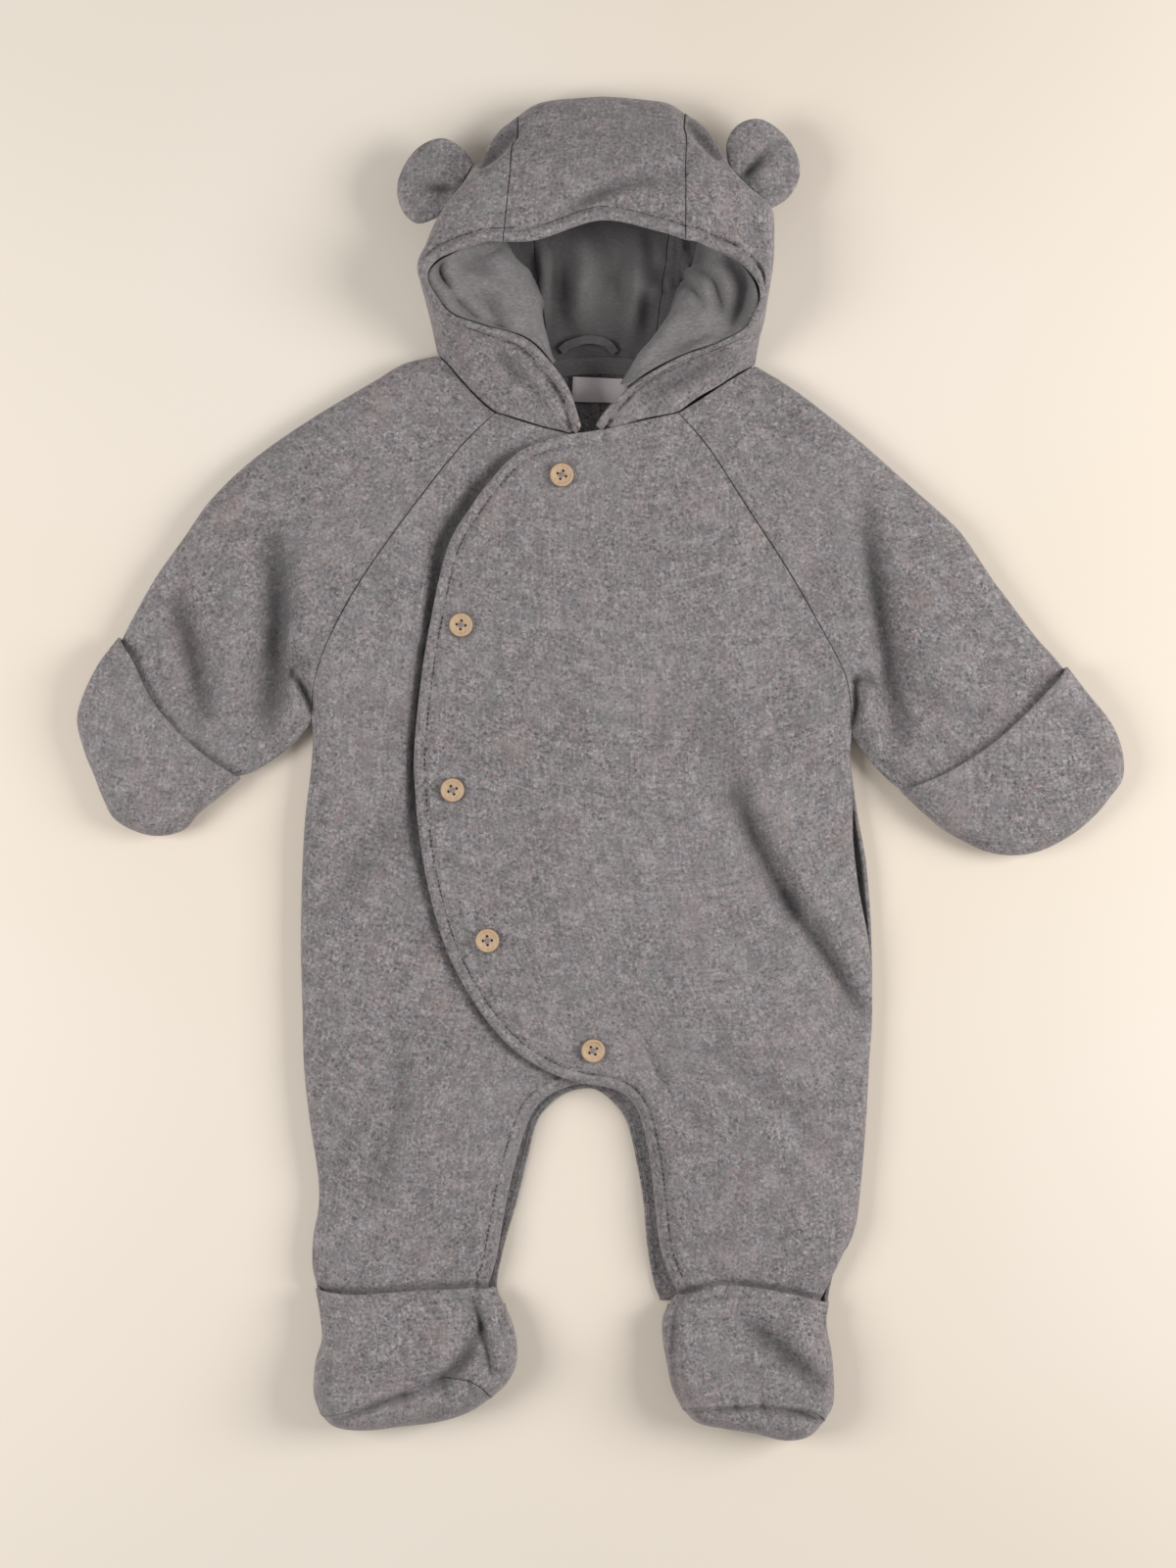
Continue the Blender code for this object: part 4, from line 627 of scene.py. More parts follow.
# The gap under the lapped edge: how far along the edge, how wide it opens, how deep
LAP_GAP = [
    (28, 4, 0), (50, 7, 4.0), (82, 10, 6.2), (118, 11, 6.8), (150, 5, 6.0), (172, 2.6, 6.0),
    (230, 2.4, 6.4), (268, 3.0, 7.0), (290, 5.5, 6.0), (318, 3.4, 4.5), (340, 2.2, 3.6),
    (400, 2.0, 3.0), (470, 2.0, 2.8), (487, 2, 0)]

# The feet's turned upper edges, which lie on the legs, and how the legs sink beside them
FOOT_FLAPS = {
    "right": [(-175, -318), (-150, -319.5), (-122, -318), (-90, -316), (-65, -317)],
    "left": [(139.5, -326), (119, -320), (97, -316), (72, -314), (45, -322)]}
FLAP_REACH, FLAP_GAP = 2.4, 3.2

# Lines of top-stitching: how far in from the edge, and where they go in under the feet
LAP_STITCH, HEM_STITCH = 6.6, 7.5
STITCH_LEG_END = -313.0

# One stitch: places along it, its radius there and how far it lies above the cloth
STITCH = [(-1.15, 0.1, -0.35), (-0.8, 0.27, 0), (0.8, 0.27, 0), (1.15, 0.1, -0.35)]

right_line = spline(UNDERARM_RIGHT + [ARMPIT_RIGHT] + SIDE_RIGHT + LEG_END_RIGHT)
left_line = spline(SIDE_LEFT_FRONT + [ARMPIT_LEFT] + UNDERARM_LEFT)
crotch_front = spline(CROTCH_FRONT)
pit_left = len(SIDE_LEFT_FRONT) * SUB
FRONT_EDGES = [(sleeve_top_right, SIDE_EDGE), (right_line, SIDE_EDGE),
               (crotch_front, FRONT_LEG_EDGE), (left_line, SIDE_EDGE), (sleeve_top_left, SIDE_EDGE)]

# Heights over the garment on a map of 2 mm squares, which the panels read smoothly
MAP_CELL = 2.0
MAP_LOW, MAP_HIGH = np.array([-336.0, -426.0]), np.array([336.0, 270.0])
map_x = np.arange(MAP_LOW[0], MAP_HIGH[0] + 1, MAP_CELL)
map_y = np.arange(MAP_LOW[1], MAP_HIGH[1] + 1, MAP_CELL)
map_points = np.stack(np.meshgrid(map_x, map_y), axis=2).reshape(-1, 2)


def blurred(grid, reach):
    """A map smoothed by a bell curve of the given reach in millimetres, first across, then up."""
    size = int(3 * reach / MAP_CELL)
    bell = np.exp(-(np.arange(-size, size + 1) * MAP_CELL / reach) ** 2 / 2)
    bell /= bell.sum()
    for axis in (0, 1):
        wide = np.pad(grid, [(size, size) if k == axis else (0, 0) for k in (0, 1)], mode="edge")
        grid = sum(w * np.take(wide, np.arange(k, k + grid.shape[axis]), axis)
                   for k, w in enumerate(bell))
    return grid


def unevenness(p, seed, wave, height):
    """Soft random unevenness: a sum of sixteen slanted waves of about the given length."""
    rng = np.random.default_rng(seed)
    turn, phase = rng.uniform(0, 2 * math.pi, (2, 16))
    length = wave * rng.uniform(0.7, 1.6, 16)
    k = np.column_stack([np.cos(turn), np.sin(turn)]) * (2 * math.pi / length)[:, None]
    return np.sin(p @ k.T + phase).sum(axis=1) * height / 4


def folded(p, folds):
    """Sum of the folds: a bell across, deepest midway and fading toward both ends."""
    total = np.zeros(len(p))
    for x0, y0, x1, y1, x2, y2, width, depth in folds:
        line = spline([(x0, y0), (x1, y1), (x2, y2)])
        low, high = line.min(0) - 3 * width, line.max(0) + 3 * width
        spots = np.flatnonzero(((p > low) & (p < high)).all(axis=1))
        if len(spots) == 0:
            continue
        d, far, _ = beside(p[spots], line)
        t = far / np.linalg.norm(np.diff(line, axis=0), axis=1).sum()
        ends = np.sqrt(np.clip(4 * t * (1 - t), 0, 1) + 0.03)
        total[spots] += depth * np.exp(-(d / width) ** 2) * ends
    return total


def filled(p):
    """Height of the filled cloth before it rounds down to an edge."""
    h = LOFT + sum(up * np.exp(-((p[:, 0] - x) / reach_x) ** 2 - ((p[:, 1] - y) / reach_y) ** 2)
                   for x, y, reach_x, reach_y, up in SWELLS)
    return h - folded(p, FOLDS) + unevenness(p, 3, 46, 0.45) + unevenness(p, 4, 21, 0.16)


crown_d = nearest(map_points, FRONT_EDGES)[0]
crown = CROWN * (1 - np.exp(-(crown_d / CROWN_REACH) ** 2)).reshape(len(map_y), len(map_x))
height_map = blurred(crown, 9.0) + filled(map_points).reshape(len(map_y), len(map_x))


def read_map(grid, p):
    """The map at plan points: a smooth curve through the four squares each way."""
    place = (p - MAP_LOW) / MAP_CELL
    cell = np.clip(np.floor(place).astype(int), 1, np.array(grid.shape[::-1]) - 3)
    t = place - cell
    weight = np.stack([((2 - t) * t - 1) * t / 2, (t * t * (3 * t - 5) + 2) / 2,
                       ((4 - 3 * t) * t + 1) * t / 2, (t - 1) * t * t / 2])
    return sum(weight[j, :, 1] * weight[i, :, 0] * grid[cell[:, 1] + j - 1, cell[:, 0] + i - 1]
               for i in range(4) for j in range(4))


def rise(p):
    return read_map(height_map, p)


def front(p, shift=SEAM / 2, edges=None, radius=SIDE_ROUND, rise_fn=rise):
    """Face of the front at plan points: its height times a quarter ellipse at each edge."""
    d, inward, edge = nearest(p, edges or FRONT_EDGES, shift)
    bend, slope = bend_over(d, radius)
    h = rise_fn(p)
    e = 1.0
    grad = np.column_stack([rise_fn(p + (e, 0)) - rise_fn(p - (e, 0)),
                            rise_fn(p + (0, e)) - rise_fn(p - (0, e))]) / (2 * e)
    grad = grad * bend[:, None] + inward * ((h - edge) * slope)[:, None]
    normal = np.column_stack([-grad, np.ones(len(p))])
    return np.column_stack([p, edge + (h - edge) * bend]), unit(normal)


side_right = right_line[pit_right:]
side_left = left_line[:pit_left + 1]
raglan_right = spline(RAGLAN_RIGHT + [ARMPIT_RIGHT])
raglan_left = spline(RAGLAN_LEFT + [ARMPIT_LEFT])
overlap_line = np.vstack([spline(OVERLAP), crotch_front[10 * SUB:]])
cover_line = spline(HIDDEN_EDGE + [(-8, -199), (-32, -214), (-52, -235), (-60, -346)])
outer_left_line = np.vstack([raglan_left, side_left[::-1]])


def over_lift(p):
    """How far the left front is held up by the right front under it."""
    cover = at_height(cover_line, p[:, 1])[:, 0] + 10
    fade = np.minimum(at_height(outer_left_line, p[:, 1])[:, 0] - cover, 50)
    return LAYER * smooth_step((cover + np.maximum(fade, 8) - p[:, 0]) / np.maximum(fade, 8))


def over_front(p):
    """The left front's face: the front's own, lifted where it covers the right front."""
    pts, nrm = front(p)
    e = 0.5
    slope_x = (over_lift(p + (e, 0)) - over_lift(p - (e, 0))) / (2 * e)
    slope_y = (over_lift(p + (0, e)) - over_lift(p - (0, e))) / (2 * e)
    pts[:, 2] += over_lift(p) / np.maximum(nrm[:, 2], 0.6)
    nrm[:, 0] -= slope_x * nrm[:, 2]
    nrm[:, 1] -= slope_y * nrm[:, 2]
    return pts, unit(nrm)


def lap_gap(p):
    """How far the right front sinks from the lapped edge over it: bells to both sides of it."""
    d, far, _ = beside(p, overlap_line)
    table = np.array(LAP_GAP, float)
    wide, deep = (np.interp(far, table[:, 0], col) for col in table[:, 1:].T)
    return deep * np.exp(-(np.maximum(-d, 0) / wide) ** 2 - (np.maximum(d, 0) / 8) ** 2)


def flap_gap(p, side):
    """How far a leg sinks beside the foot's turned edge over it: a bell to both sides."""
    d, _, _ = beside(p, spline(FOOT_FLAPS[side]))
    return FLAP_GAP * np.exp(-(d / FLAP_REACH) ** 2)


def front_plan(raglan, side, chest, lap, arch, leg, neck_rows, counts, across):
    """Plan grid of a front and its leg, from the free edge across to the raglan and side seam."""
    pit = raglan[-1, 1]
    seam = step_in(raglan, np.array([0.0, 100.0]), SEAM / 2)
    hip, knee, end = FRONT_STRETCHES
    outer = [seam, cut(side, pit - 0.8, hip), cut(side, hip, knee), cut(side, knee, end)]
    free, sewn = fan([chest, lap, arch, leg], outer, counts)
    plan = panel(free, sewn, across)
    fade = np.clip(1 - np.arange(len(plan)) / 12, 0, 1)[:, None, None] ** 2
    return plan + (along(spline(neck_rows), across) - plan[0]) * fade


def stitched(d, far, inset, band=0.9, sink=1.15):
    """Relief beside a turned edge: a full band, then the sunken, puckered line of stitches."""
    pucker = 1 + 0.35 * np.sin(far / 1.15 + 2 * np.sin(far / 9.0)) + 0.3 * np.sin(far / 4.3)
    line = np.exp(-((d - inset) / 1.15) ** 2) * sink * pucker
    roll = np.exp(-((d - inset * 0.45) / (inset * 0.34)) ** 2) * band
    beyond = np.exp(-((d - inset * 1.7) / (inset * 0.5)) ** 2) * band * 0.35
    return roll + beyond - line


def add_relief(grid, normal, edge, inset, **kw):
    """Raise a grid by the stitched relief along one of its edges."""
    flat = grid[..., :2].reshape(-1, 2)
    d, far, _ = beside(flat, edge)
    relief = stitched(np.abs(d), far, inset, **kw).reshape(grid.shape[:2])
    relief *= normal[..., 2]
    return grid + normal * relief[..., None]


def set_painted_shade(obj, depth):
    """Note painted shade at each point of a piece, 0 to 1, mostly how deep in a fold it lies, for
    its material to darken by.
    """
    obj.data.attributes.new("painted_shade", "FLOAT", "POINT").data.foreach_set(
        "value", np.clip(depth, 0, 1).astype(np.float32))


def paint_fold_shade(obj, folds, full, more=None):
    """Paint shade into a piece's folds: full is the fold depth that shades fully, and more adds to
    it.
    """
    spots = np.empty(len(obj.data.vertices) * 3)
    obj.data.vertices.foreach_get("co", spots)
    spots = spots.reshape(-1, 3)[:, :2] / MM
    set_painted_shade(obj, folded(spots, folds) / full + (0 if more is None else more(spots)))
    return obj


row_9, row_10, row_5, row_14 = 9 * SUB, 10 * SUB, 5 * SUB, 14 * SUB
hidden, lap_edge = spline(HIDDEN_EDGE), spline(OVERLAP)
chest_end = 8 * SUB
right_plan = front_plan(
    raglan_right, side_right, hidden[:chest_end + 1], hidden[chest_end:],
    np.vstack([hidden[-1:], crotch_front[row_5:row_9 + 1][::-1]]), crotch_front[:row_5 + 1][::-1],
    NECK_RIGHT, (76, 84, 44, 46), eased(112))
left_plan = front_plan(
    raglan_left, side_left, lap_edge[:chest_end + 1], lap_edge[chest_end:],
    np.vstack([lap_edge[-1:], crotch_front[row_10:row_14 + 1]]), crotch_front[row_14:],
    NECK_LEFT, (84, 100, 40, 50), eased(136))
right_grid, right_normal = shaped(right_plan, front)
right_grid = add_relief(right_grid, right_normal, crotch_front[:row_9 + 1], HEM_STITCH)
right_spots = right_grid[..., :2].reshape(-1, 2)
right_sink = lap_gap(right_spots) + flap_gap(right_spots, "right")
right_grid[..., 2] -= right_sink.reshape(right_grid.shape[:2])
front_right = cloth("front_right_wool", [(right_grid, right_normal, False)], WALL, wool,
                    "front_right")
# Painted shade in the front's folds, in the gap under the lapped edge and beside the foot's flap.
paint_fold_shade(front_right, FOLDS, full=10.0,
           more=lambda p: lap_gap(p) / 6.0 + flap_gap(p, "right") / 4.0)
left_grid, left_normal = shaped(left_plan, over_front)
left_grid = add_relief(left_grid, left_normal, overlap_line, LAP_STITCH)
left_sink = flap_gap(left_grid[..., :2].reshape(-1, 2), "left")
left_grid[..., 2] -= left_sink.reshape(left_grid.shape[:2])
front_left = cloth("front_left_wool", [(left_grid, left_normal, False)], WALL, wool, "front_left")
# Painted shade in the left front's folds and beside its foot's flap.
paint_fold_shade(front_left, FOLDS, full=10.0, more=lambda p: flap_gap(p, "left") / 4.0)


def ring_faces(index):
    """Faces of closed tubes of rings, from their points' numbers: the walls, then both ends."""
    after = np.roll(index, -1, axis=-1)
    walls = np.stack([index[..., :-1, :], after[..., :-1, :], after[..., 1:, :],
                      index[..., 1:, :]], axis=-1)
    ends = [end.reshape(-1, index.shape[-1]).tolist()
            for end in (index[..., 0, ::-1], index[..., -1, :])]
    return walls.reshape(-1, 4).tolist() + ends[0] + ends[1]


def plan_uv(points, faces):
    """A UV map seen from above, for every corner of the faces."""
    return np.array([points[i, :2] for face in faces for i in face]) * MM


def stitches(name, points, normals, pitch=3.1, sink=0.0):
    """A row of sewn stitches along a line on the cloth: each a short thread with sunk ends."""
    total = lengths(points)
    at = np.arange(pitch, total[-1] - pitch, pitch)
    spot = np.column_stack([np.interp(at, total, col) for col in points.T])
    up = unit(np.column_stack([np.interp(at, total, col) for col in normals.T]))
    run = unit(np.gradient(spot, axis=0))
    side = unit(np.cross(up, run))
    sides = 6
    turn = np.arange(sides) * 2 * math.pi / sides
    rings = []
    for u, radius, lift in STITCH:
        middle = spot + run * u + up * (lift - sink)
        rings.append(middle[:, None] + radius * (side[:, None] * np.cos(turn)[:, None]
                                                 + up[:, None] * np.sin(turn)[:, None]))
    rings = np.stack(rings, axis=1).reshape(-1, 3)
    faces = ring_faces(np.arange(len(rings)).reshape(-1, len(STITCH), sides))
    return put(name, rings, faces, plan_uv(rings, faces), stitch_thread)


stitch_thread, place, thread_colour = finish("dark grey sewing thread", (0.07, 0.064, 0.068), 0.8)
feed(stitch_thread, Base_Color=thread_colour.tint(place.noise(900, 2).step(0.4, 0.7) * 0.6,
                                                  (0.14, 0.13, 0.135)),
     height=place.noise(4000, 2) * 0.05)
lap_row = step_in(overlap_line, np.array([20.0, 0.0]), LAP_STITCH)[4:-4]
lap_row = lap_row[lap_row[:, 1] > STITCH_LEG_END]
lap_face, lap_up = over_front(lap_row)
lap_stitches = stitches("lap_stitches", lap_face, lap_up, sink=0.75)
hem_row = step_in(crotch_front[:row_9 + 1], np.array([-300.0, -250.0]), HEM_STITCH)[4:-4]
hem_row = hem_row[hem_row[:, 1] > STITCH_LEG_END]
hem_face, hem_up = front(hem_row)
hem_stitches = stitches("right_leg_hem_stitches", hem_face, hem_up, sink=0.75)


# ---------------------------------------------------------------- the buttons
# Five turned buttons of pale wood, 15 mm across and 3 mm thick, each with a rounded rim, a
# shallow dish and four drilled holes, sewn on crosswise with grey thread.

BUTTON_TURN = (-20, -8, 21, 3, 31)   # how far each is turned, in degrees
BUTTON_PROFILE = [               # radius and height, from the underside's middle out
    (0.001, 0.0), (5.6, 0.0), (6.6, 0.15), (7.15, 0.55), (7.45, 1.1), (7.5, 1.7), (7.35, 2.3),
    (6.95, 2.75), (6.4, 2.95), (5.8, 2.9), (5.3, 2.6), (4.9, 2.3), (4.4, 2.15), (3.0, 2.05),
    (1.5, 2.0), (0.001, 2.0)]
BUTTON_SIDES = 48
HOLE_RING, HOLE = 2.55, 0.9      # how far out the holes lie, and their radius
THREAD = 0.27
BUTTON_LIFT = 0.35               # how far the buttons stand off the cloth


def turned_button():
    """The button at the origin: its profile turned full circle, with four holes cut through."""
    turn = np.arange(BUTTON_SIDES) * 2 * math.pi / BUTTON_SIDES
    profile = np.array(BUTTON_PROFILE)
    grid = np.stack([profile[:, :1] * np.cos(turn), profile[:, :1] * np.sin(turn),
                     np.repeat(profile[:, 1:], BUTTON_SIDES, axis=1)], axis=2).reshape(-1, 3)
    blank = bpy.data.meshes.new("button_blank")
    blank.from_pydata(grid.tolist(), [],
                      ring_faces(np.arange(len(grid)).reshape(-1, BUTTON_SIDES)))
    blank_obj = link(bpy.data.objects.new("button_blank", blank))
    drill = bmesh.new()
    for k in range(4):
        spot = (HOLE_RING * math.cos(k * math.pi / 2), HOLE_RING * math.sin(k * math.pi / 2), 1.5)
        bmesh.ops.create_cone(drill, cap_ends=True, segments=20, radius1=HOLE, radius2=HOLE,
                              depth=6, matrix=mathutils.Matrix.Translation(spot))
    bits = bpy.data.meshes.new("drill_bits")
    drill.to_mesh(bits)
    drill.free()
    bits_obj = link(bpy.data.objects.new("drill_bits", bits))
    cutter = blank_obj.modifiers.new("holes", "BOOLEAN")
    cutter.object, cutter.solver = bits_obj, "EXACT"
    cut_mesh = blank_obj.evaluated_get(bpy.context.evaluated_depsgraph_get()).to_mesh()
    points = np.array([v.co for v in cut_mesh.vertices])
    faces = [list(p.vertices) for p in cut_mesh.polygons]
    blank_obj.to_mesh_clear()
    for obj in (blank_obj, bits_obj):
        bpy.data.objects.remove(obj, do_unlink=True)
    return points, faces


def tube(path, radius, sides=8):
    """A round thread along a path of points: rings of points and their faces."""
    step = unit(np.gradient(path, axis=0))
    side = unit(np.cross(step, (0.31, 0.17, 0.93)))
    turn = np.arange(sides) * 2 * math.pi / sides
    rings = path[:, None] + radius * (side[:, None] * np.cos(turn)[:, None]
                                      + np.cross(step, side)[:, None] * np.sin(turn)[:, None])
    return rings.reshape(-1, 3), ring_faces(np.arange(len(path) * sides).reshape(-1, sides))


wood, place, pale_wood = finish("pale turned wood", (0.575, 0.425, 0.29), 0.5)
grain = place.stretched(1, 0.09, 24).noise(1500, 3, 0.6)
pores = place.stretched(1, 0.2, 24).noise(4200, 2, 0.6)
reach = place.node("ShaderNodeVectorMath", {"operation": "LENGTH"}, {0: place}, 1)
pale_wood = pale_wood.tint(grain.step(0.4, 0.65) * 0.75, (0.46, 0.30, 0.17))
pale_wood = pale_wood.tint(pores.step(0.55, 0.75) * 0.65, (0.33, 0.19, 0.10))
# Painted shade: past 6.6 mm out the rim and side wall darken to dark brown.
pale_wood = pale_wood.tint(reach.step(0.0066, 0.0074) * 0.8, (0.14, 0.075, 0.04))
feed(wood, Base_Color=pale_wood, Roughness=grain * 0.25 + 0.38,
     height=grain * 0.05 + pores * 0.04 + reach.maths("PINGPONG", reach, 0.00035) * 60)
thread_grey, place, thread_colour = finish("grey thread", (0.27, 0.235, 0.26), 0.75,
                                           Sheen_Weight=0.3)
feed(thread_grey, Base_Color=thread_colour.tint(place.noise(2600, 2).step(0.4, 0.7) * 0.5,
                                                (0.40, 0.36, 0.39)),
     height=place.noise(5200, 2) * 0.05)

button_points, button_faces = turned_button()
thread_parts, base = [], 0
for k in (0, 1):
    for beside_it in (-0.3, 0.3):
        x = np.array([-HOLE_RING + 0.5, -HOLE_RING + 0.52, -HOLE_RING + 0.85, -1.0, 0, 1.0,
                      HOLE_RING - 0.85, HOLE_RING - 0.52, HOLE_RING - 0.5])
        z = np.array([0.5, 1.4, 2.2, 2.42, 2.5, 2.42, 2.2, 1.4, 0.5]) + 0.3 * k * (np.abs(x) < 1.2)
        path = np.column_stack([x, np.full(9, beside_it), z])
        if k:
            path = path[:, [1, 0, 2]] * (1, -1, 1)
        points, faces = tube(along(path, np.linspace(0, 1, 22)), THREAD)
        thread_parts.append((points, [[i + base for i in face] for face in faces]))
        base += len(points)
thread_points = np.vstack([points for points, _ in thread_parts])
thread_faces = [face for _, faces in thread_parts for face in faces]
for number, turn in enumerate(BUTTON_TURN, 1):
    low_corner, high_corner = (np.array(corner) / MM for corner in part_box("button_%d" % number))
    middle = (low_corner + high_corner) / 2
    face, up = over_front(middle[None, :2])
    up = unit(up[0] * (0.5, 0.5, 1))
    right = unit(np.cross((0, 1, 0), up))
    cos, sin = math.cos(math.radians(turn)), math.sin(math.radians(turn))
    own_x = right * cos + np.cross(up, right) * sin
    turned = np.stack([own_x, np.cross(up, own_x), up])
    seat = np.array([*middle[:2], face[0, 2] + BUTTON_LIFT])
    for name, points, faces, mat, nodes, slot in (
            ("button_%d_wood" % number, button_points, button_faces, wood,
             ["button_%d" % number], "wood"),
            ("button_%d_thread" % number, thread_points, thread_faces, thread_grey, [], "wool")):
        piece = put(name, points @ turned + seat, faces, plan_uv(points, faces), mat, *nodes,
                    slot=slot)
        if mat is wood:
            piece.data.set_sharp_from_angle(angle=math.radians(35))


# ---------------------------------------------------------------- the sleeves
# Raglan sleeves, each a tube closed by its underarm seam: sewn to the fronts, the back and the
# hood, and carried on inside the mitten. Each lies pressed flat with two long soft folds.

TUCK_LIFT = 3.4                  # how far its underside rises where it goes into the mitten
TUCK_START, TUCK_RUN = 26, 16    # how far before the mouth it starts to, and within what length
PIT_CLEAR = 0.8                  # how much wider the seam's gap grows at the armpit
NECK_FRONT_RIGHT = [(-100, 253), (-93, 246), (-86, 238), (-75, 226), (-65, 217)]
NECK_FRONT_LEFT = [(94, 247), (83, 240), (72, 233), (60, 225), (47, 217)]
NECK_SIDE_BACK_RIGHT = [(-100, 253), (-93, 245), (-84, 237), (-74, 232)]
NECK_SIDE_BACK_LEFT = [(94, 247), (86, 240), (78, 234), (70, 229)]
MITTEN_RIGHT_EDGE = [
    (-295.4, 80.7), (-286, 68), (-278, 51), (-268, 35), (-247, 13), (-220.6, -6.1)]
MITTEN_LEFT_EDGE = [(285.4, 62.8), (262, 38), (238, 16), (214, 0), (195, -9), (183, -13.5)]


def beyond(p, mouth):
    """Distance past the line across a mitten's open end, positive toward its tip."""
    start, end = np.array(mouth[0], float), np.array(mouth[-1], float)
    run = (end - start) / np.linalg.norm(end - start)
    square = np.array([run[1], -run[0]])
    if square[1] > 0:
        square = -square
    return (p - start) @ square


def make_sleeve(side, neck_front, seam_front, neck_back, seam_back, top, underarm, mouth, grain):
    """A tube of two plan grids, on the front's face and on the underside, joined at both sides."""
    down = np.linspace(0, 1, 120) ** 1.1
    a, b = along(top, down), along(underarm, down)
    b[0] = along(underarm, [0.01])[0]
    fade = np.clip(1 - down / 0.7, 0, 1)[:, None, None] ** 1.6
    halves = []
    for neck_rows, seam, at_neck, at_seam in ((neck_front, seam_front, 24, 70),
                                              (neck_back, seam_back, 10, 30)):
        neck_part = along(spline(neck_rows), np.linspace(0, 1, at_neck + 1))
        seam_part = along(seam, 1 - (1 - np.linspace(0, 1, at_seam)) ** 1.2)
        line = np.vstack([neck_part[:-1], seam_part])
        step = np.linalg.norm(np.diff(line, axis=0), axis=1)
        fraction = np.concatenate([[0], np.cumsum(step)]) / step.sum()
        plan = panel(a, b, fraction) + (line - panel(a[:1], b[:1], fraction)[0]) * fade
        away = SEAM / 2 + PIT_CLEAR * smooth_step((fraction - 0.93) / 0.05)
        plan[0, 1:-1] = step_in(line, plan[3], away[:, None])[1:-1]
        halves.append(plan)
    upper, upper_n = shaped(halves[0], front, shift=0.0)
    lower, lower_n = shaped(halves[1], under, shift=0.0)
    past = beyond(lower[..., :2].reshape(-1, 2), mouth)
    lift = TUCK_LIFT * smooth_step((past + TUCK_START) / TUCK_RUN)
    lower[..., 2] += lift.reshape(lower.shape[:2]) * (1 - lower[..., 2] / SIDE_EDGE)
    ring = np.concatenate([upper, lower[:, -2:0:-1]], axis=1)
    ring_n = np.concatenate([upper_n, lower_n[:, -2:0:-1]], axis=1)
    return cloth("sleeve_%s_wool" % side, [(ring, ring_n, True)], WALL, wool, "sleeve_" + side,
                 grain=grain)


sleeve_right = make_sleeve("right", NECK_FRONT_RIGHT, raglan_right, NECK_SIDE_BACK_RIGHT,
                           raglan_back_right, sleeve_top_right, right_line[:pit_right + 1][::-1],
                           MITTEN_RIGHT_EDGE, 0.0)
sleeve_left = make_sleeve("left", NECK_FRONT_LEFT, raglan_left, NECK_SIDE_BACK_LEFT,
                          raglan_back_left, sleeve_top_left[::-1], left_line[pit_left:],
                          MITTEN_LEFT_EDGE, 0.0)
for sleeve in (sleeve_right, sleeve_left):
    # Painted shade in the sleeve's folds.
    paint_fold_shade(sleeve, FOLDS, full=11.0)


# ---------------------------------------------------------------- the mittens
# A fold-over mitten on each sleeve's end: two layers sewn round the tip, closed, with a turned
# mouth that stands open over the sleeve.

MITTEN_ROUND = 15.0              # how far in from its edge a mitten rounds down
MITTEN_LOFT = 23.0               # how high it stands
SLEEVE_REACH, REACH_SLOPE = 28.0, 0.35       # how far in it clears the sleeve, then less
MITTEN_RIGHT = [
    (-295.4, 80.7), (-305, 68.5), (-312, 57), (-318.5, 42), (-321, 28), (-316, 9), (-311, -3),
    (-306, -16), (-298, -31), (-282, -39.5), (-268, -41), (-255, -37), (-246, -27), (-232, -16),
    (-220.6, -6.1)]
MITTEN_LEFT = [
    (285.4, 62.8), (297.4, 47), (309, 33), (316, 21), (320, 6), (319, -7), (312, -17), (303, -28),
    (289, -40), (270, -50), (252, -53), (234, -50), (212, -39), (197, -27), (183, -13.5)]
MITTEN_TIP = (7, 10)             # rows of the outline between which it closes
FOLDS_ON_MITTENS = [(-300, 62, -297, 40, -290, 22, 7, 1.2), (300, 40, 290, 20, 283, 4, 9, 1.0)]


def soft_max(a, b, ease):
    """The greater of two heights, eased where they are within a few tenths of each other."""
    return (a + b + np.sqrt((a - b) ** 2 + ease ** 2)) / 2


def grid_normals(grid, closed=False):
    """Normals of a grid of points, from the steps down and across it."""
    if closed:
        grid = np.concatenate([grid[:, -1:], grid, grid[:, :1]], axis=1)
    normal = unit(np.cross(np.gradient(grid, axis=0), np.gradient(grid, axis=1)))
    return normal[:, 1:-1] if closed else normal


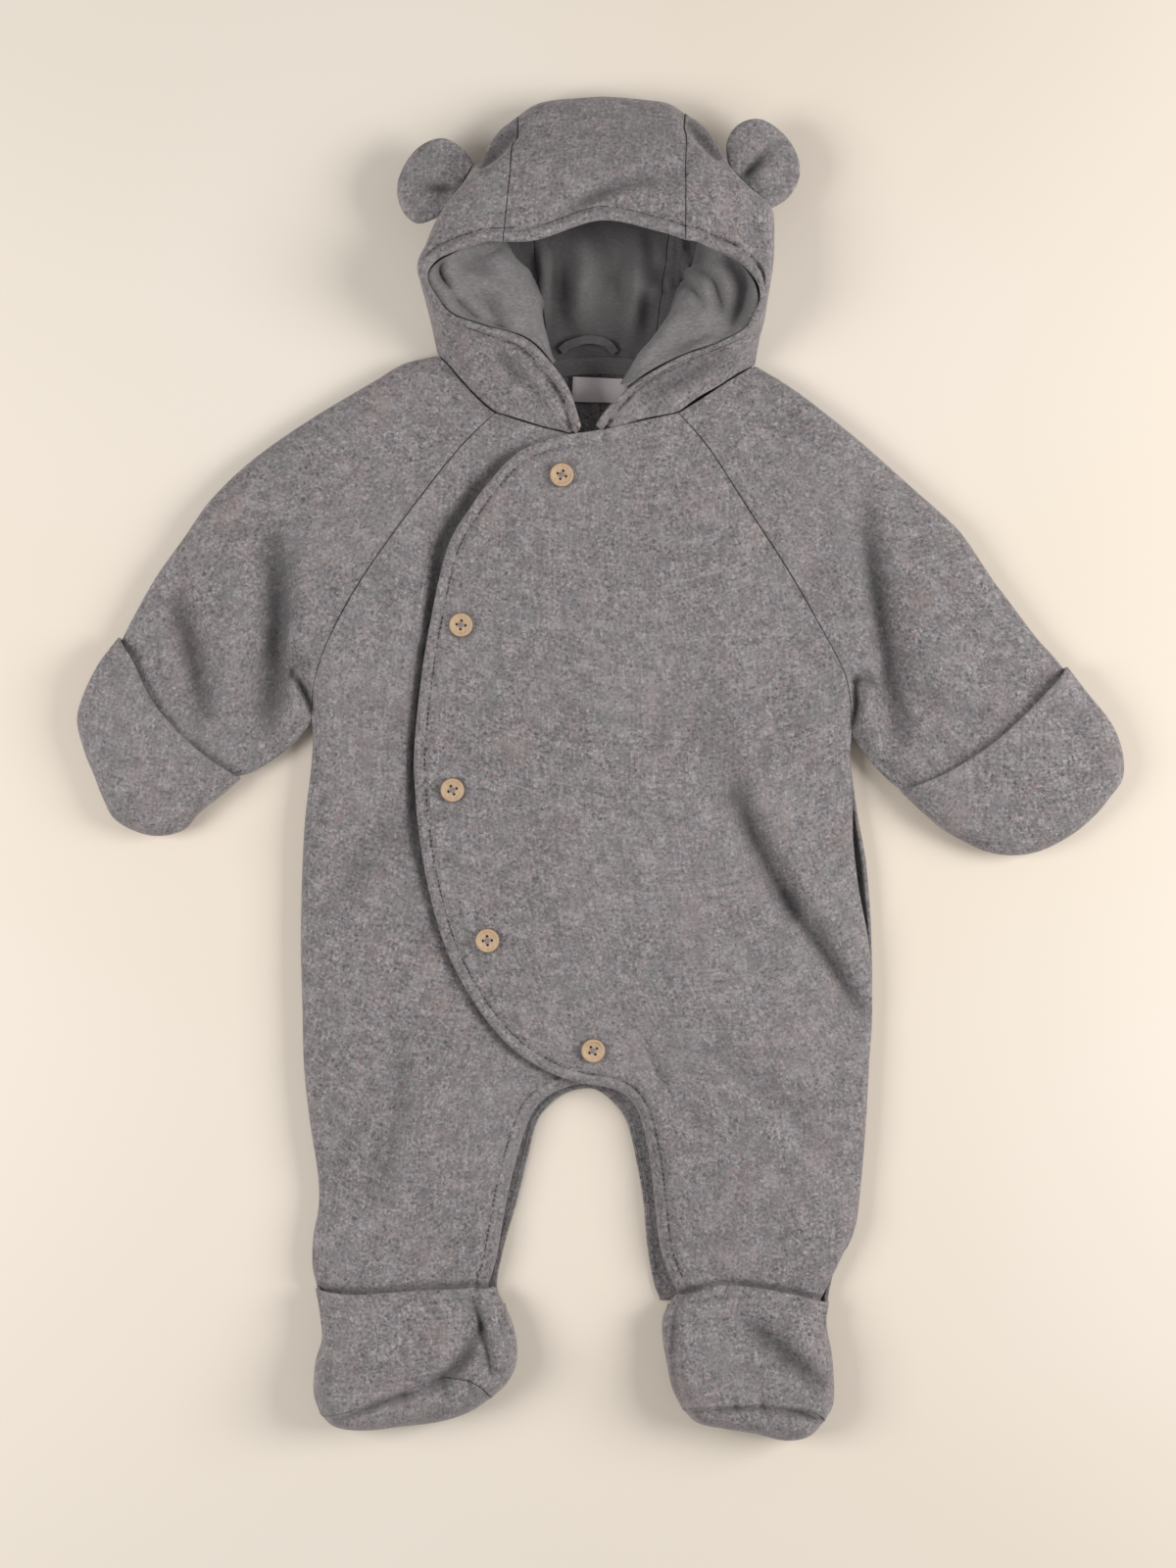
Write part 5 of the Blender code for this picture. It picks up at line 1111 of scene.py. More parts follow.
def make_mitten(side, rows, mouth, clockwise, grain):
    """A closed pouch: rows from the mouth to the tip, columns across the top and back under."""
    outline = spline(rows)
    first, last = MITTEN_TIP[0] * SUB, MITTEN_TIP[1] * SUB
    edges = [(outline[::-1] if clockwise else outline, SIDE_EDGE)]
    down = 1 - (1 - np.linspace(0, 1, 64)) ** 1.3
    across = eased(90, 0.25)
    a, b = along(outline[:first + 1], down), along(outline[last:][::-1], down)
    straight = panel(a, b, across)
    tip_bow = (along(outline[first:last + 1], across) - straight[-1]) * down[:, None, None] ** 2
    mouth_bow = (along(spline(mouth), across) - straight[0]) * (1 - down[:, None, None]) ** 2
    plan_up, plan_down = straight + tip_bow + mouth_bow, straight + tip_bow

    def mitten_rise(p):
        return (MITTEN_LOFT - 0.05 * np.maximum(beyond(p, mouth), 0) - folded(p, FOLDS_ON_MITTENS)
                + unevenness(p, 5, 30, 0.4))

    own, own_n = shaped(plan_up, front, shift=0.0, edges=edges, radius=MITTEN_ROUND,
                        rise_fn=mitten_rise)
    sleeve, _ = shaped(plan_up, front, shift=0.0)
    past = beyond(plan_up.reshape(-1, 2), mouth).reshape(own.shape[:2])
    cover = sleeve[..., 2] + LAYER + 2 * SEAM - REACH_SLOPE * np.maximum(past - SLEEVE_REACH, 0)
    inner = smooth_step((own[..., 2] - SIDE_EDGE - 3) / 5)
    own[..., 2] += (soft_max(own[..., 2], cover, 0.8) - own[..., 2]) * inner
    d, far, _ = beside(plan_up.reshape(-1, 2), spline(mouth))
    relief = stitched(np.abs(d), far, 9.0, 0.5, 0.5).reshape(own.shape[:2])
    own[..., 2] += relief * inner
    lower, lower_n = shaped(plan_down, under, shift=0.0, edges=edges)
    ring = np.concatenate([own, lower[:, -2:0:-1]], axis=1)
    ring[-1, len(across):] = own[-1, -2:0:-1]
    ring_n = np.concatenate([own_n, lower_n[:, -2:0:-1]], axis=1)
    fresh = grid_normals(ring, True)
    fresh *= np.sign((fresh * ring_n).sum(axis=2))[..., None]
    ring_n[:-1] = fresh[:-1]
    return cloth("mitten_%s_wool" % side, [(ring, ring_n, True)], WALL, wool, "mitten_" + side,
                 grain=grain)


mitten_right = make_mitten("right", MITTEN_RIGHT, MITTEN_RIGHT_EDGE, False, -0.7)
mitten_left = make_mitten("left", MITTEN_LEFT, MITTEN_LEFT_EDGE, True, 0.8)


# ---------------------------------------------------------------- the feet
# Each foot is an upper and a sole, sewn together over the toes, where the sole's fulness is
# gathered in. The upper ends in a turned edge over the leg's front.

FOOT_ROUND = 16.0                # how far in from its edge a foot rounds down
FOOT_LOFT = 24.0                 # how high it stands at the flap
INSTEP_RISE, INSTEP_RUN = 9.0, 45.0          # how much higher it gets, and within what length
COVER_END, COVER_SLOPE = -338.0, 0.4         # to here it clears the leg inside, then less
FOOT_RIGHT = {
    "outer": [(-175, -318), (-173, -329), (-171, -348), (-175, -363), (-176, -381), (-172, -394)],
    "toe": [(-172, -394), (-163, -402), (-146, -404.5), (-122, -402), (-98, -399), (-80, -393),
            (-66, -384)],
    "inner": [(-65, -317), (-57, -333), (-52, -349), (-52, -364), (-57, -375), (-66, -384)],
    "seam": [(-172, -394), (-160, -390.5), (-147, -387), (-127, -380), (-104, -371), (-86, -369),
             (-73, -374), (-66, -384)],
    "folds": [
        (-71, -336, -86, -361, -106, -377, 4.5, 6.5), (-80, -316, -71, -345, -65, -372, 2.6, 5.0),
        (-62, -326, -57, -348, -60, -368, 5, -2.0),
        (-156, -394, -128, -382.5, -100, -374, 2.2, 5.5),
        (-98, -366, -95, -374, -92, -384, 2.2, 2.6), (-82, -362, -80, -372, -78, -382, 2.2, 2.4),
        (-122, -372, -119, -382, -117, -392, 2.2, 1.8),
        (-160, -330, -152, -350, -146, -372, 9, 1.8)],
}
FOOT_LEFT = {
    "outer": [(139.5, -326), (138, -340), (141, -357), (142.5, -375), (142, -388), (137, -398)],
    "toe": [(137, -398), (127, -408), (112, -410.5), (94, -406.5), (76, -403.5), (59, -400),
            (49, -391)],
    "inner": [(45, -322), (38, -335), (37.5, -348), (40, -363), (43, -378), (49, -391)],
    "seam": [(137, -398), (131, -391), (120, -388), (103, -386), (84, -385.5), (68, -386),
             (56, -387.5), (49, -391)],
    "folds": [
        (82, -333, 112, -356, 137, -378, 6.5, 7.0), (46, -320, 43.5, -357, 47, -388, 2.6, 4.5),
        (98, -326, 122, -344, 138, -356, 7, -2.2), (54, -390, 84, -387.5, 108, -388, 2.2, 5.0),
        (104, -389, 120, -390, 132, -396, 2.4, 6.0), (94, -378, 99, -388, 103, -398, 2.4, 2.6),
        (80, -380, 82, -390, 84, -398, 2.2, 2.0), (60, -340, 62, -358, 66, -376, 8, 1.4)],
}


def make_foot(side, table, clockwise):
    """The upper: rows from flap to toe seam. The sole: its floor, then up over the toes."""
    outer, inner = spline(table["outer"]), spline(table["inner"])
    toe, seam = spline(table["toe"]), spline(table["seam"])
    edges = [(line[::-1] if clockwise else line, SIDE_EDGE) for line in (outer, toe, inner[::-1])]
    flap = spline(FOOT_FLAPS[side])

    def instep(p):
        return (FOOT_LOFT + INSTEP_RISE * smooth_step((flap[0, 1] - p[:, 1]) / INSTEP_RUN)
                - folded(p, table["folds"]) + unevenness(p, 8, 24, 0.35))

    def top(p, shift):
        own, own_n = front(p, shift=shift, edges=edges, radius=FOOT_ROUND, rise_fn=instep)
        leg, _ = front(p)
        cover = leg[:, 2] + LAYER + 0.5 - COVER_SLOPE * np.maximum(COVER_END - p[:, 1], 0)
        inside = smooth_step((own[:, 2] - SIDE_EDGE - 3) / 5)
        own[:, 2] += (soft_max(own[:, 2], cover, 0.8) - own[:, 2]) * inside
        return own, own_n

    down, across = np.linspace(0, 1, 56), eased(84, 0.25)
    rows = panel(along(outer, down), along(inner, down), across)
    flap_bow = (along(flap, across) - rows[0]) * (1 - down[:, None, None]) ** 2
    seam_bow = (along(seam, across) - rows[-1]) * down[:, None, None] ** 2
    plan = rows + flap_bow + seam_bow
    plan[-1, 1:-1] = step_in(plan[-1], plan[-3], SEAM / 2)[1:-1]
    plan[-1, [0, -1]] += (plan[-2, [0, -1]] - plan[-1, [0, -1]]) * 0.5
    pts, nrm = shaped(plan, top, shift=SEAM / 2)
    pts = add_relief(pts, nrm, flap, 8.0, band=0.4, sink=0.5)
    foot_upper = cloth("foot_upper_%s_wool" % side, [(pts, nrm, False)], WALL, wool,
                       "foot_upper_" + side)

    start_out = outer[outer[:, 1] <= SOLE_START]
    start_in = inner[inner[:, 1] <= SOLE_START]
    floor = panel(along(start_out, down[::2]), along(start_in, down[::2]), across)
    floor[0, :, 1] = SOLE_START
    floor = floor + (along(toe, across) - floor[-1]) * down[::2, None, None] ** 2
    bottom, bottom_n = shaped(floor, under, edges=edges)
    edge = along(toe, across)
    last = step_in(along(seam, across), edge, SEAM / 2)
    last[[0, -1]] = edge[[0, -1]]
    wrap = (np.linspace(0.04, 1, 20) ** 1.3)[:, None, None]
    over = edge * (1 - wrap) + last * wrap
    upper, upper_n = shaped(over, top, shift=-SEAM / 2)
    pts, nrm = np.concatenate([bottom, upper]), np.concatenate([bottom_n, upper_n])
    foot_sole = cloth("foot_sole_%s_wool" % side, [(pts, nrm, False)], WALL, wool,
                      "foot_sole_" + side)
    # Painted shade in the feet's folds and gathers.
    return [paint_fold_shade(piece, table["folds"], full=7.0) for piece in (foot_upper, foot_sole)]


foot_upper_right, foot_sole_right = make_foot("right", FOOT_RIGHT, False)
foot_upper_left, foot_sole_left = make_foot("left", FOOT_LEFT, True)


# ---------------------------------------------------------------- the hood's outside
# Two sides and a centre strip, sewn together and to the neckline; the rim is turned in and
# top-stitched. Raised on the chest it falls open, and its crown lies back on the table.

# Hood sections from the right chin over the top to the left chin.
# rim x, y, z; widest point x, y, z; neckline x, y; wrap: 0 on the front, 1 under the back;
# ridge: how far from rim to widest point the hood stays high
HOOD = [
    (-13, 207, 24, -14, 205.5, 23, -15, 203.5, 0, 0.5),
    (-18, 227, 31, -27, 217, 26, -31, 206.5, 0, 0.5),
    (-30, 244, 36, -43, 229, 28, -47, 211, 0, 0.5),
    (-46, 259, 39, -61, 242, 28, -64, 218, 0, 0.5),
    (-70, 266, 41, -82, 252, 28, -80, 233, 0, 0.5),
    (-90, 273, 42, -97.5, 265, 25, -94, 247.5, 0.1, 0.5),
    (-101.5, 286, 42, -107, 286.5, 21, -100.5, 254.5, 0.6, 0.6),
    (-105, 296, 43, -111, 304, 21, -92, 246, 1, 0.7),
    (-99, 304, 44, -106, 319, 22, -82, 238, 1, 0.75),
    (-86, 310, 45, -99, 334, 24, -70, 235, 1, 0.8),
    (-76, 313, 46, -86, 351, 25, -58, 238, 1, 0.82),
    (-69, 315, 47, -77, 367, 24, -48, 241, 1, 0.78),
    (-63, 315, 47.5, -66, 384, 22, -39, 243, 1, 0.6),
    (-59, 315, 48, -51, 397, 22, -31, 244, 1, 0.55),
    (-38, 316, 49, -30, 405.5, 22, -19, 245, 1, 0.55),
    (-1, 327, 51, 1, 407.5, 22, 1, 246, 1, 0.5),
    (33, 321, 50, 33, 405.5, 22, 20, 245, 1, 0.55),
    (50, 316, 49, 51, 398.5, 22, 31, 243, 1, 0.55),
    (56, 315, 48.5, 62, 392, 22, 38, 242, 1, 0.6),
    (63, 312, 48, 73, 379, 23, 45, 240.5, 1, 0.7),
    (70, 309, 47, 79, 364, 25, 53, 238, 1, 0.8),
    (79, 305, 46, 90, 352, 25, 62, 234, 1, 0.8),
    (87, 299, 45, 103, 340, 24, 70, 231, 1, 0.78),
    (93, 291, 44, 105, 320, 22, 78, 236, 1, 0.7),
    (95, 282, 43, 104, 301, 21, 87, 243, 1, 0.65),
    (92.5, 273, 42, 101, 284, 21, 94.5, 248.5, 0.6, 0.6),
    (85, 263, 41, 95.5, 264, 25, 88, 244, 0.1, 0.5),
    (70, 256, 41, 82, 250, 28, 74, 235.5, 0, 0.5),
    (50, 249, 39, 60, 237, 28, 60, 226.5, 0, 0.5),
    (31, 240, 37, 38, 227, 27, 42, 216.5, 0, 0.5),
    (15, 229, 33, 20, 220, 26, 25, 212, 0, 0.5),
    (3, 217, 28, 6, 213, 24, 12, 208.5, 0, 0.5),
    (-3, 207.5, 25, -1, 207, 23, 3, 206.5, 0, 0.5),
]
HOOD_CUTS = (0, 13, 17, 32)      # rows of HOOD where its three panels meet
HOOD_COLUMNS = (120, 56, 132)    # steps round each panel
FLOOR_INSET = 13.0               # from the widest point in to where the hood rests
RIM_STITCH = 8.5                 # from the turned rim to its line of stitches
ACROSS = 1.5708                  # a quarter turn: the hood's cloth runs across its grid
FOLD_LEVEL, FOLD_RUN = 9, 8      # the height at which its folds set in, and within what height

# Its folds, as on the fronts: above the rim, beside the ears, on the collar and the sides
HOOD_FOLDS = [
    (-30, 330, 9, 349, 52, 359, 5, 6.0), (-48, 391, -63, 375, -76, 363, 5.5, 7.5),
    (49, 394, 60, 384, 73, 368, 5.5, 7.5), (-45, 380, -60, 362, -72, 350, 6, -2.5),
    (46, 382, 60, 366, 72, 352, 6, -2.5), (-62, 250, -43, 229, -33, 219, 4, 3.8),
    (-86, 264, -66, 252, -50, 238, 5, 2.6), (78, 251, 52, 237, 20, 223, 8, 6.5),
    (-100, 305, -96, 320, -84, 334, 6, 2.2), (98, 300, 92, 318, 80, 330, 6, 2.4),
    (-30, 392, -8, 384, 20, 392, 9, 1.6), (-24, 360, 4, 368, 30, 378, 10, 1.4)]

neckline_front = np.vstack([spline(NECK_FRONT_RIGHT), spline(NECK_RIGHT)[::-1],
                            spline(NECK_LEFT), spline(NECK_FRONT_LEFT)[::-1]])
neckline_back = np.vstack([spline(NECK_SIDE_BACK_RIGHT), spline(NECK_BACK),
                           spline(NECK_SIDE_BACK_LEFT)[::-1]])


def at_rows(table, index):
    """Smoothly interpolated rows of a table at fractional row numbers."""
    fine = spline(table)
    grid = np.arange(len(fine)) / SUB
    return np.column_stack([np.interp(index, grid, col) for col in fine.T])


def snap(p, line):
    """The nearest points of a line."""
    d, _, way = beside(p, line)
    return p - way * d[:, None]


def hood_controls(sections):
    """Seven points of each section: rim, crest, ridge, widest point, floor, floor, neckline."""
    rim, wide = sections[:, 0:3], sections[:, 3:6]
    wrap, ridge = np.clip(sections[:, 8:9], 0, 1), sections[:, 9:10]
    neck_xy = snap(sections[:, 6:8], neckline_front) * (1 - wrap)
    neck_xy += snap(sections[:, 6:8], neckline_back) * wrap
    neck_z = (1 - wrap[:, 0]) * front(neck_xy)[0][:, 2] + wrap[:, 0] * under(neck_xy)[0][:, 2]
    run = wide[:, :2] - neck_xy
    neck_xy = neck_xy + run / np.linalg.norm(run, axis=1)[:, None] * 2 * SEAM
    neck = np.column_stack([neck_xy, neck_z])
    crest = rim * 0.86 + wide * 0.14
    crest[:, 2] = rim[:, 2] + 0.8
    high = (1 - wrap) * 0.45 + wrap * 0.84
    shoulder = rim * (1 - ridge) + wide * ridge
    shoulder[:, 2] = (rim[:, 2:] * high + wide[:, 2:] * (1 - high))[:, 0]
    back = neck - wide
    inset = np.minimum(FLOOR_INSET / np.linalg.norm(back[:, :2], axis=1), 0.4)[:, None]
    floor_a = wide + back * (wrap * inset + (1 - wrap) * 0.35)
    floor_b = wide + back * (wrap * 0.55 + (1 - wrap) * 0.7)
    floor_a[:, 2] *= 1 - wrap[:, 0]
    floor_b[:, 2] *= 1 - wrap[:, 0]
    return np.stack([rim, crest, shoulder, wide, floor_a, floor_b, neck], axis=1)


def profile_grid(controls, fractions):
    """A smooth curve through each section's controls, at the fractions: rows are sections."""
    grid = np.array([along(spline(section), fractions) for section in controls])
    grid[..., 2] = np.maximum(grid[..., 2], 0)
    return grid


def hood_layer(stations, fractions):
    """The hood's grid at rows of its table and fractions of each section, and its normals."""
    grid = profile_grid(hood_controls(at_rows(HOOD, stations)), fractions)
    normal = grid_normals(grid)
    normal[grid[..., 2] < 0.02] = (0, 0, -1)
    return grid, normal


def cut_panels(grid, normal, first, last):
    """The three panels of a hood layer between two columns, parted by the seam gap."""
    ends = np.cumsum((0,) + HOOD_COLUMNS)
    ends[0], ends[-1] = first, last
    square = unit(np.cross(np.gradient(grid, axis=1), normal))
    for k, (a, b) in enumerate(zip(ends[:-1], ends[1:])):
        piece = grid[a:b + 1].copy()
        if k > 0:
            piece[0] += square[a] * SEAM / 2
        if k < 2:
            piece[-1] -= square[b] * SEAM / 2
        yield piece, normal[a:b + 1]


stations = np.concatenate([np.linspace(a, b, n + 1)[:-1] for a, b, n in
                           zip(HOOD_CUTS[:-1], HOOD_CUTS[1:], HOOD_COLUMNS)] + [[HOOD_CUTS[-1]]])
fractions = np.concatenate([np.linspace(0, 0.11, 32)[:-1], np.linspace(0.11, 0.32, 18)[:-1],
                            np.linspace(0.32, 1, 36)])
hood_face, hood_normal = hood_layer(stations, fractions)
rim_length = np.array([lengths(section) for section in hood_face])
rim_far = lengths(hood_face[:, 0])
pucker = 1 + 0.3 * np.sin(rim_far / 4.6 + 2 * np.sin(rim_far / 19))[:, None]
hood_relief = stitched(rim_length, rim_far[:, None], RIM_STITCH, 2.0, 1.7) * pucker
hood_spots = hood_face[..., :2].reshape(-1, 2)
hood_bend = folded(hood_spots, HOOD_FOLDS) - unevenness(hood_spots, 21, 30, 0.5)
hood_relief -= (hood_bend.reshape(hood_relief.shape)
                * smooth_step((hood_face[..., 2] - FOLD_LEVEL) / FOLD_RUN))
join_right, join_left = np.cumsum(HOOD_COLUMNS)[:2]
hood_sides = []
for name, (piece, nrm), relief in zip(
        ("hood_side_right", "hood_centre", "hood_side_left"),
        cut_panels(hood_face, hood_normal, 0, len(hood_face) - 1),
        (hood_relief[:join_right + 1], hood_relief[join_right:join_left + 1],
         hood_relief[join_left:])):
    piece = piece + nrm * (relief * (piece[..., 2] > 6))[..., None]
    hood_sides.append(cloth(name + "_wool", [(piece, nrm, False)], WALL, wool, name, grain=ACROSS))
    # Painted shade in the hood's folds.
    paint_fold_shade(hood_sides[-1], HOOD_FOLDS, full=9.0)
rim_spot, rim_up = (np.array([[np.interp(RIM_STITCH, reach_row, col) for col in row.T]
                              for reach_row, row in zip(rim_length, grid)])
                    for grid in (hood_face, hood_normal))
rim_stitches = stitches("rim_stitches", rim_spot[3:-3], rim_up[3:-3], sink=1.25)
for side, area, pieces in zip(hood_sides, (0.0216, 0.0256, 0.022), ([], [rim_stitches], [])):
    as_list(pieces)


# ---------------------------------------------------------------- the hood's lining
# Three panels of grey jersey like the wool ones, sewn in at the rim. Inside the mouth they fall
# as a soft shelf, then down a steep wall to the hood's back.

# The lining's own sections, by row of HOOD: share of its own line (the rest follows the wool),
# then the fold edge x, y, z, the foot of the wall x, y, z and the neck end x, y, z
HOOD_LINING = [
    (0, 1.0, -12, 208, 19, -11, 209, 13, -10, 212, 12),
    (1, 1.0, -18, 230, 26, -17, 231, 16, -17, 236, 12),
    (2, 1.0, -31, 248, 30, -30, 248.5, 17, -29, 250, 8),
    (3, 1.0, -36, 262, 34, -34, 261, 13, -31, 252, 7),
    (4, 1.0, -40, 275, 33, -36, 270, 10, -31.5, 253, 6.6),
    (5, 1.0, -44, 284, 32, -38, 279, 8, -32, 254, 6),
    (6, 1.0, -47, 294, 31, -40, 289, 7, -32.5, 254, 5.4),
    (7, 1.0, -50, 304, 30, -41, 299, 6, -33, 253, 5),
    (8, 0.9, -53, 312, 31, -42, 308, 5.4, -33, 252, 5),
    (9, 0.75, -56, 320, 33, -42, 318, 5, -33, 251, 4.8),
    (10, 0.5, -58, 330, 35, -42, 330, 4.6, -33, 250, 4.6),
    (11, 0.3, -58, 340, 36, -42, 340, 4.6, -33, 249, 4.6),
    (12, 0.12, -58, 345, 38, -42, 350, 4.6, -33, 248, 4.6),
    (13, 0.0, -58, 350, 40, -42, 360, 4.6, -33, 247, 4.6),
    (17, 0.0, 55, 350, 40, 42, 360, 4.6, 33, 247, 4.6),
    (18, 0.12, 58, 345, 38, 44, 350, 4.6, 33, 248, 4.6),
    (19, 0.3, 62, 340, 36, 46, 340, 4.6, 33, 249, 4.6),
    (20, 0.5, 65, 330, 34, 49, 326, 4.6, 33, 250, 4.8),
    (21, 0.75, 66, 320, 32, 51, 316, 4.8, 33, 251, 5),
    (22, 0.9, 66, 311, 30, 52, 307, 5.2, 33, 251.5, 5),
    (23, 1.0, 63, 302, 29, 50, 298, 6, 33, 252, 6),
    (24, 1.0, 58, 292, 29, 47, 288, 8, 32.5, 252, 7.2),
    (25, 1.0, 52, 284, 30, 43, 280, 9, 32, 252, 7.6),
    (26, 1.0, 45, 276, 31, 39, 272, 10, 30, 251, 7.8),
    (27, 1.0, 37, 266, 31, 32, 262, 11, 26, 249, 8),
    (28, 1.0, 29, 255, 31, 25, 253, 13, 21, 246, 8),
    (29, 1.0, 20, 242, 30, 18, 243, 17, 16, 242, 9),
    (30, 1.0, 15, 232, 27, 14, 233, 18, 13, 234, 12),
    (31, 1.0, 1, 219, 23, -2, 220, 13, -3, 222, 12),
    (32, 1.0, -4, 209, 19, -4, 210, 12, -5, 211, 12),
]
LINING_ENDS = (2.0, 30.0)        # rows of HOOD where the lining starts and ends
LINING = 1.2                     # how thick the jersey is
# Painted shade: the lining's colour darkens the lower it lies in the hood.
DEEP_TOP, DEEP_RUN, DEEP_SHADE = 34, 28, 0.85    # it darkens down from a height, by how much

# Its folds: creases on the two shelves by the rim, then ridges down the deep back
LINING_FOLDS = [
    (-95, 309, -97, 299, -90, 288, 2.8, 6.0), (-91, 285, -84, 280, -74, 270, 2.8, 4.0),
    (-86, 302, -74, 303, -58, 294, 5, 3.4), (76, 312, 85, 291, 80, 266, 5, 9.0),
    (60, 304, 69, 292, 73, 274, 3.4, 4.5), (-74, 290, -64, 276, -58, 262, 4, 3.4),
    (50, 302, 56, 290, 62, 276, 3.4, 3.6), (-70, 270, -60, 262, -50, 250, 3.4, 2.6),
    (66, 262, 56, 258, 44, 254, 3.4, 2.6), (-80, 308, -66, 312, -58, 318, 3, 2.4),
    (-13, 334, -8, 302, -13, 270, 9, -8), (24, 326, 21, 298, 20, 268, 6, -8),
    (14, 302, 31, 293, 52, 301, 4, -5.5), (-38, 322, -35, 300, -40, 282, 4, -5.0),
    (48, 326, 54, 308, 55, 292, 4, -3.4), (34, 312, 42, 316, 52, 322, 3, -2.6),
    (-20, 310, -14, 296, -22, 276, 4, -2.2)]


def soft_jersey(name, grey):
    """Brushed jersey: fine heather grey, a faint level rib, dull."""
    mat, place, colour = finish(name, grey, 0.95, Sheen_Weight=0.25, Sheen_Roughness=0.5)
    solid = Socket(place.tree, place.out.node.outputs["Object"])
    heather = solid.stretched(0.35, 1).noise3(820, 3, 0.65)
    loops = solid.noise3(1100, 2, 0.6)
    cloud = solid.noise3(60, 2, 0.6)
    colour = blended(colour, grey, [
        (heather, "high", 0.48, 0.75, 0.55, 1.7), (heather, "low", 0.25, 0.5, 0.6, 0.5),
        (cloud, "low", 0.3, 0.65, 0.3, 0.7)])
    # Painted shade: the jersey darkens toward 0.3 of its grey in folds and deep in the hood.
    painted_shade = place.node("ShaderNodeAttribute", {"attribute_name": "painted_shade"}, output=2)
    colour = colour.tint(painted_shade * 0.75, tuple(c * 0.3 for c in grey))
    feed(mat, Base_Color=colour, height=heather * 0.3 + loops * 0.2)
    return mat


jersey = soft_jersey("grey jersey", (0.215, 0.202, 0.207))
keep = np.concatenate([np.linspace(0, 0.6, 40)[:-1], np.linspace(0.6, 1, 16)])
follow_face, follow_normal = hood_layer(stations, keep)
follow_sink = folded(follow_face[..., :2].reshape(-1, 2), HOOD_FOLDS).reshape(follow_face.shape[:2])
follow_sink = (np.maximum(follow_sink, 0)
               * smooth_step((follow_face[..., 2] - FOLD_LEVEL) / FOLD_RUN))
follow = follow_face - follow_normal * (WALL + 2 * SEAM + follow_sink)[..., None]
table = np.array(HOOD_LINING, float)
own = np.column_stack([np.interp(stations, table[:, 0], col) for col in table[:, 1:].T])
share, fold_edge, foot, neck_end = own[:, :1, None], own[:, 1:4], own[:, 4:7], own[:, 7:10]
inward = unit((fold_edge - follow_face[:, 0]) * (1, 1, 0))
turned = follow_face[:, 0] + inward * 2 * SEAM - (0, 0, LINING + 2 * SEAM)
shelf_grid = profile_grid(np.stack([turned, (turned + fold_edge) / 2, fold_edge, foot,
                                    (foot + neck_end) / 2, neck_end], 1), keep)
lining_face = follow * (1 - share) + shelf_grid * share
low = WALL + 2 * SEAM
lining_face[..., 2] = np.maximum(lining_face[..., 2], low)
lining_spots = lining_face[..., :2].reshape(-1, 2)
shelf_side = smooth_step((lining_face[..., 2] - 6) / 5)
bend = (-folded(lining_spots, LINING_FOLDS) + unevenness(lining_spots, 31, 15, 0.45)
        + unevenness(lining_spots, 32, 28, 1.1)).reshape(shelf_side.shape)
bend = np.where(bend > 0, bend, bend * shelf_side)
bend *= smooth_step(np.arange(len(keep)) / 5.0)
lining_face = lining_face - grid_normals(lining_face) * bend[..., None]
lining_face[..., 2] = np.maximum(lining_face[..., 2], low)
lining_normal = grid_normals(lining_face)
lining_normal[(lining_face[..., 2] < 2.5 * low) & (lining_normal[..., 2] > -0.3)] = (0, 0, -1)
linings = []
trim = [np.abs(stations - row).argmin() for row in LINING_ENDS]
for name, (piece, nrm) in zip(("hood_lining_right", "hood_lining_centre", "hood_lining_left"),
                              cut_panels(lining_face, lining_normal, *trim)):
    linings.append(cloth(name + "_jersey", [(piece, nrm, False)], LINING, jersey, name,
                         slot="jersey", grain=ACROSS))
    spots = np.array([v.co for v in linings[-1].data.vertices]) / MM
    # Painted shade: darker the lower the lining lies in the hood, and in its creases.
    set_painted_shade(linings[-1], smooth_step((DEEP_TOP - spots[:, 2]) / DEEP_RUN) * DEEP_SHADE
             + np.clip(folded(spots[:, :2], LINING_FOLDS), 0, 6) / 8)


# ---------------------------------------------------------------- the ears
# Two round ears of doubled wool, each with a pleat at its root, caught in the hood's side.

EAR_RIGHT = {"rows": (9.0, 11.0),
             "rim": [(-112, 331), (-121, 339), (-124, 352), (-120, 366), (-110, 378),
                     (-96, 382.5), (-84, 376)]}
EAR_LEFT = {"rows": (22.0, 19.8),
            "rim": [(113, 346), (120, 358), (119, 372), (110, 386), (96, 394), (83, 391),
                    (76, 380)]}
EAR_THICK = 5.2
EAR_HEIGHT = 27.0                # how high its root's middle lies
EAR_CLEAR = 0.2                  # the gap to the hood's side
EAR_DROOP = 3.0                  # how much lower its rim lies
EAR_FOLDS = [(-68, 349, -88, 351.5, -108, 353, 3.2, 5.5), (68, 340, 85, 358, 101, 376, 3.4, 6.0),
             (-84, 362, -96, 366, -104, 364, 6, -1.6), (92, 352, 104, 362, 108, 372, 6, -1.6)]


def ear_base(rows):
    """Where an ear meets the outside of the hood: one point for each of the hood's rows."""
    grid, normal = hood_layer(rows, np.linspace(0.1, 0.6, 90))
    base = []
    for profile, nrm in zip(grid, normal):
        k = np.abs(profile[:, 2] - EAR_HEIGHT).argmin()
        out = unit(nrm[k] * (1, 1, 0))
        beside_it = np.abs(profile[:, 2] - profile[k, 2]) < EAR_THICK * 0.7
        reach = ((profile[beside_it] - profile[k]) @ out).max()
        base.append(profile[k] + out * (reach + EAR_CLEAR))
    base = np.array(base)
    base[:, 2] = EAR_HEIGHT
    return base


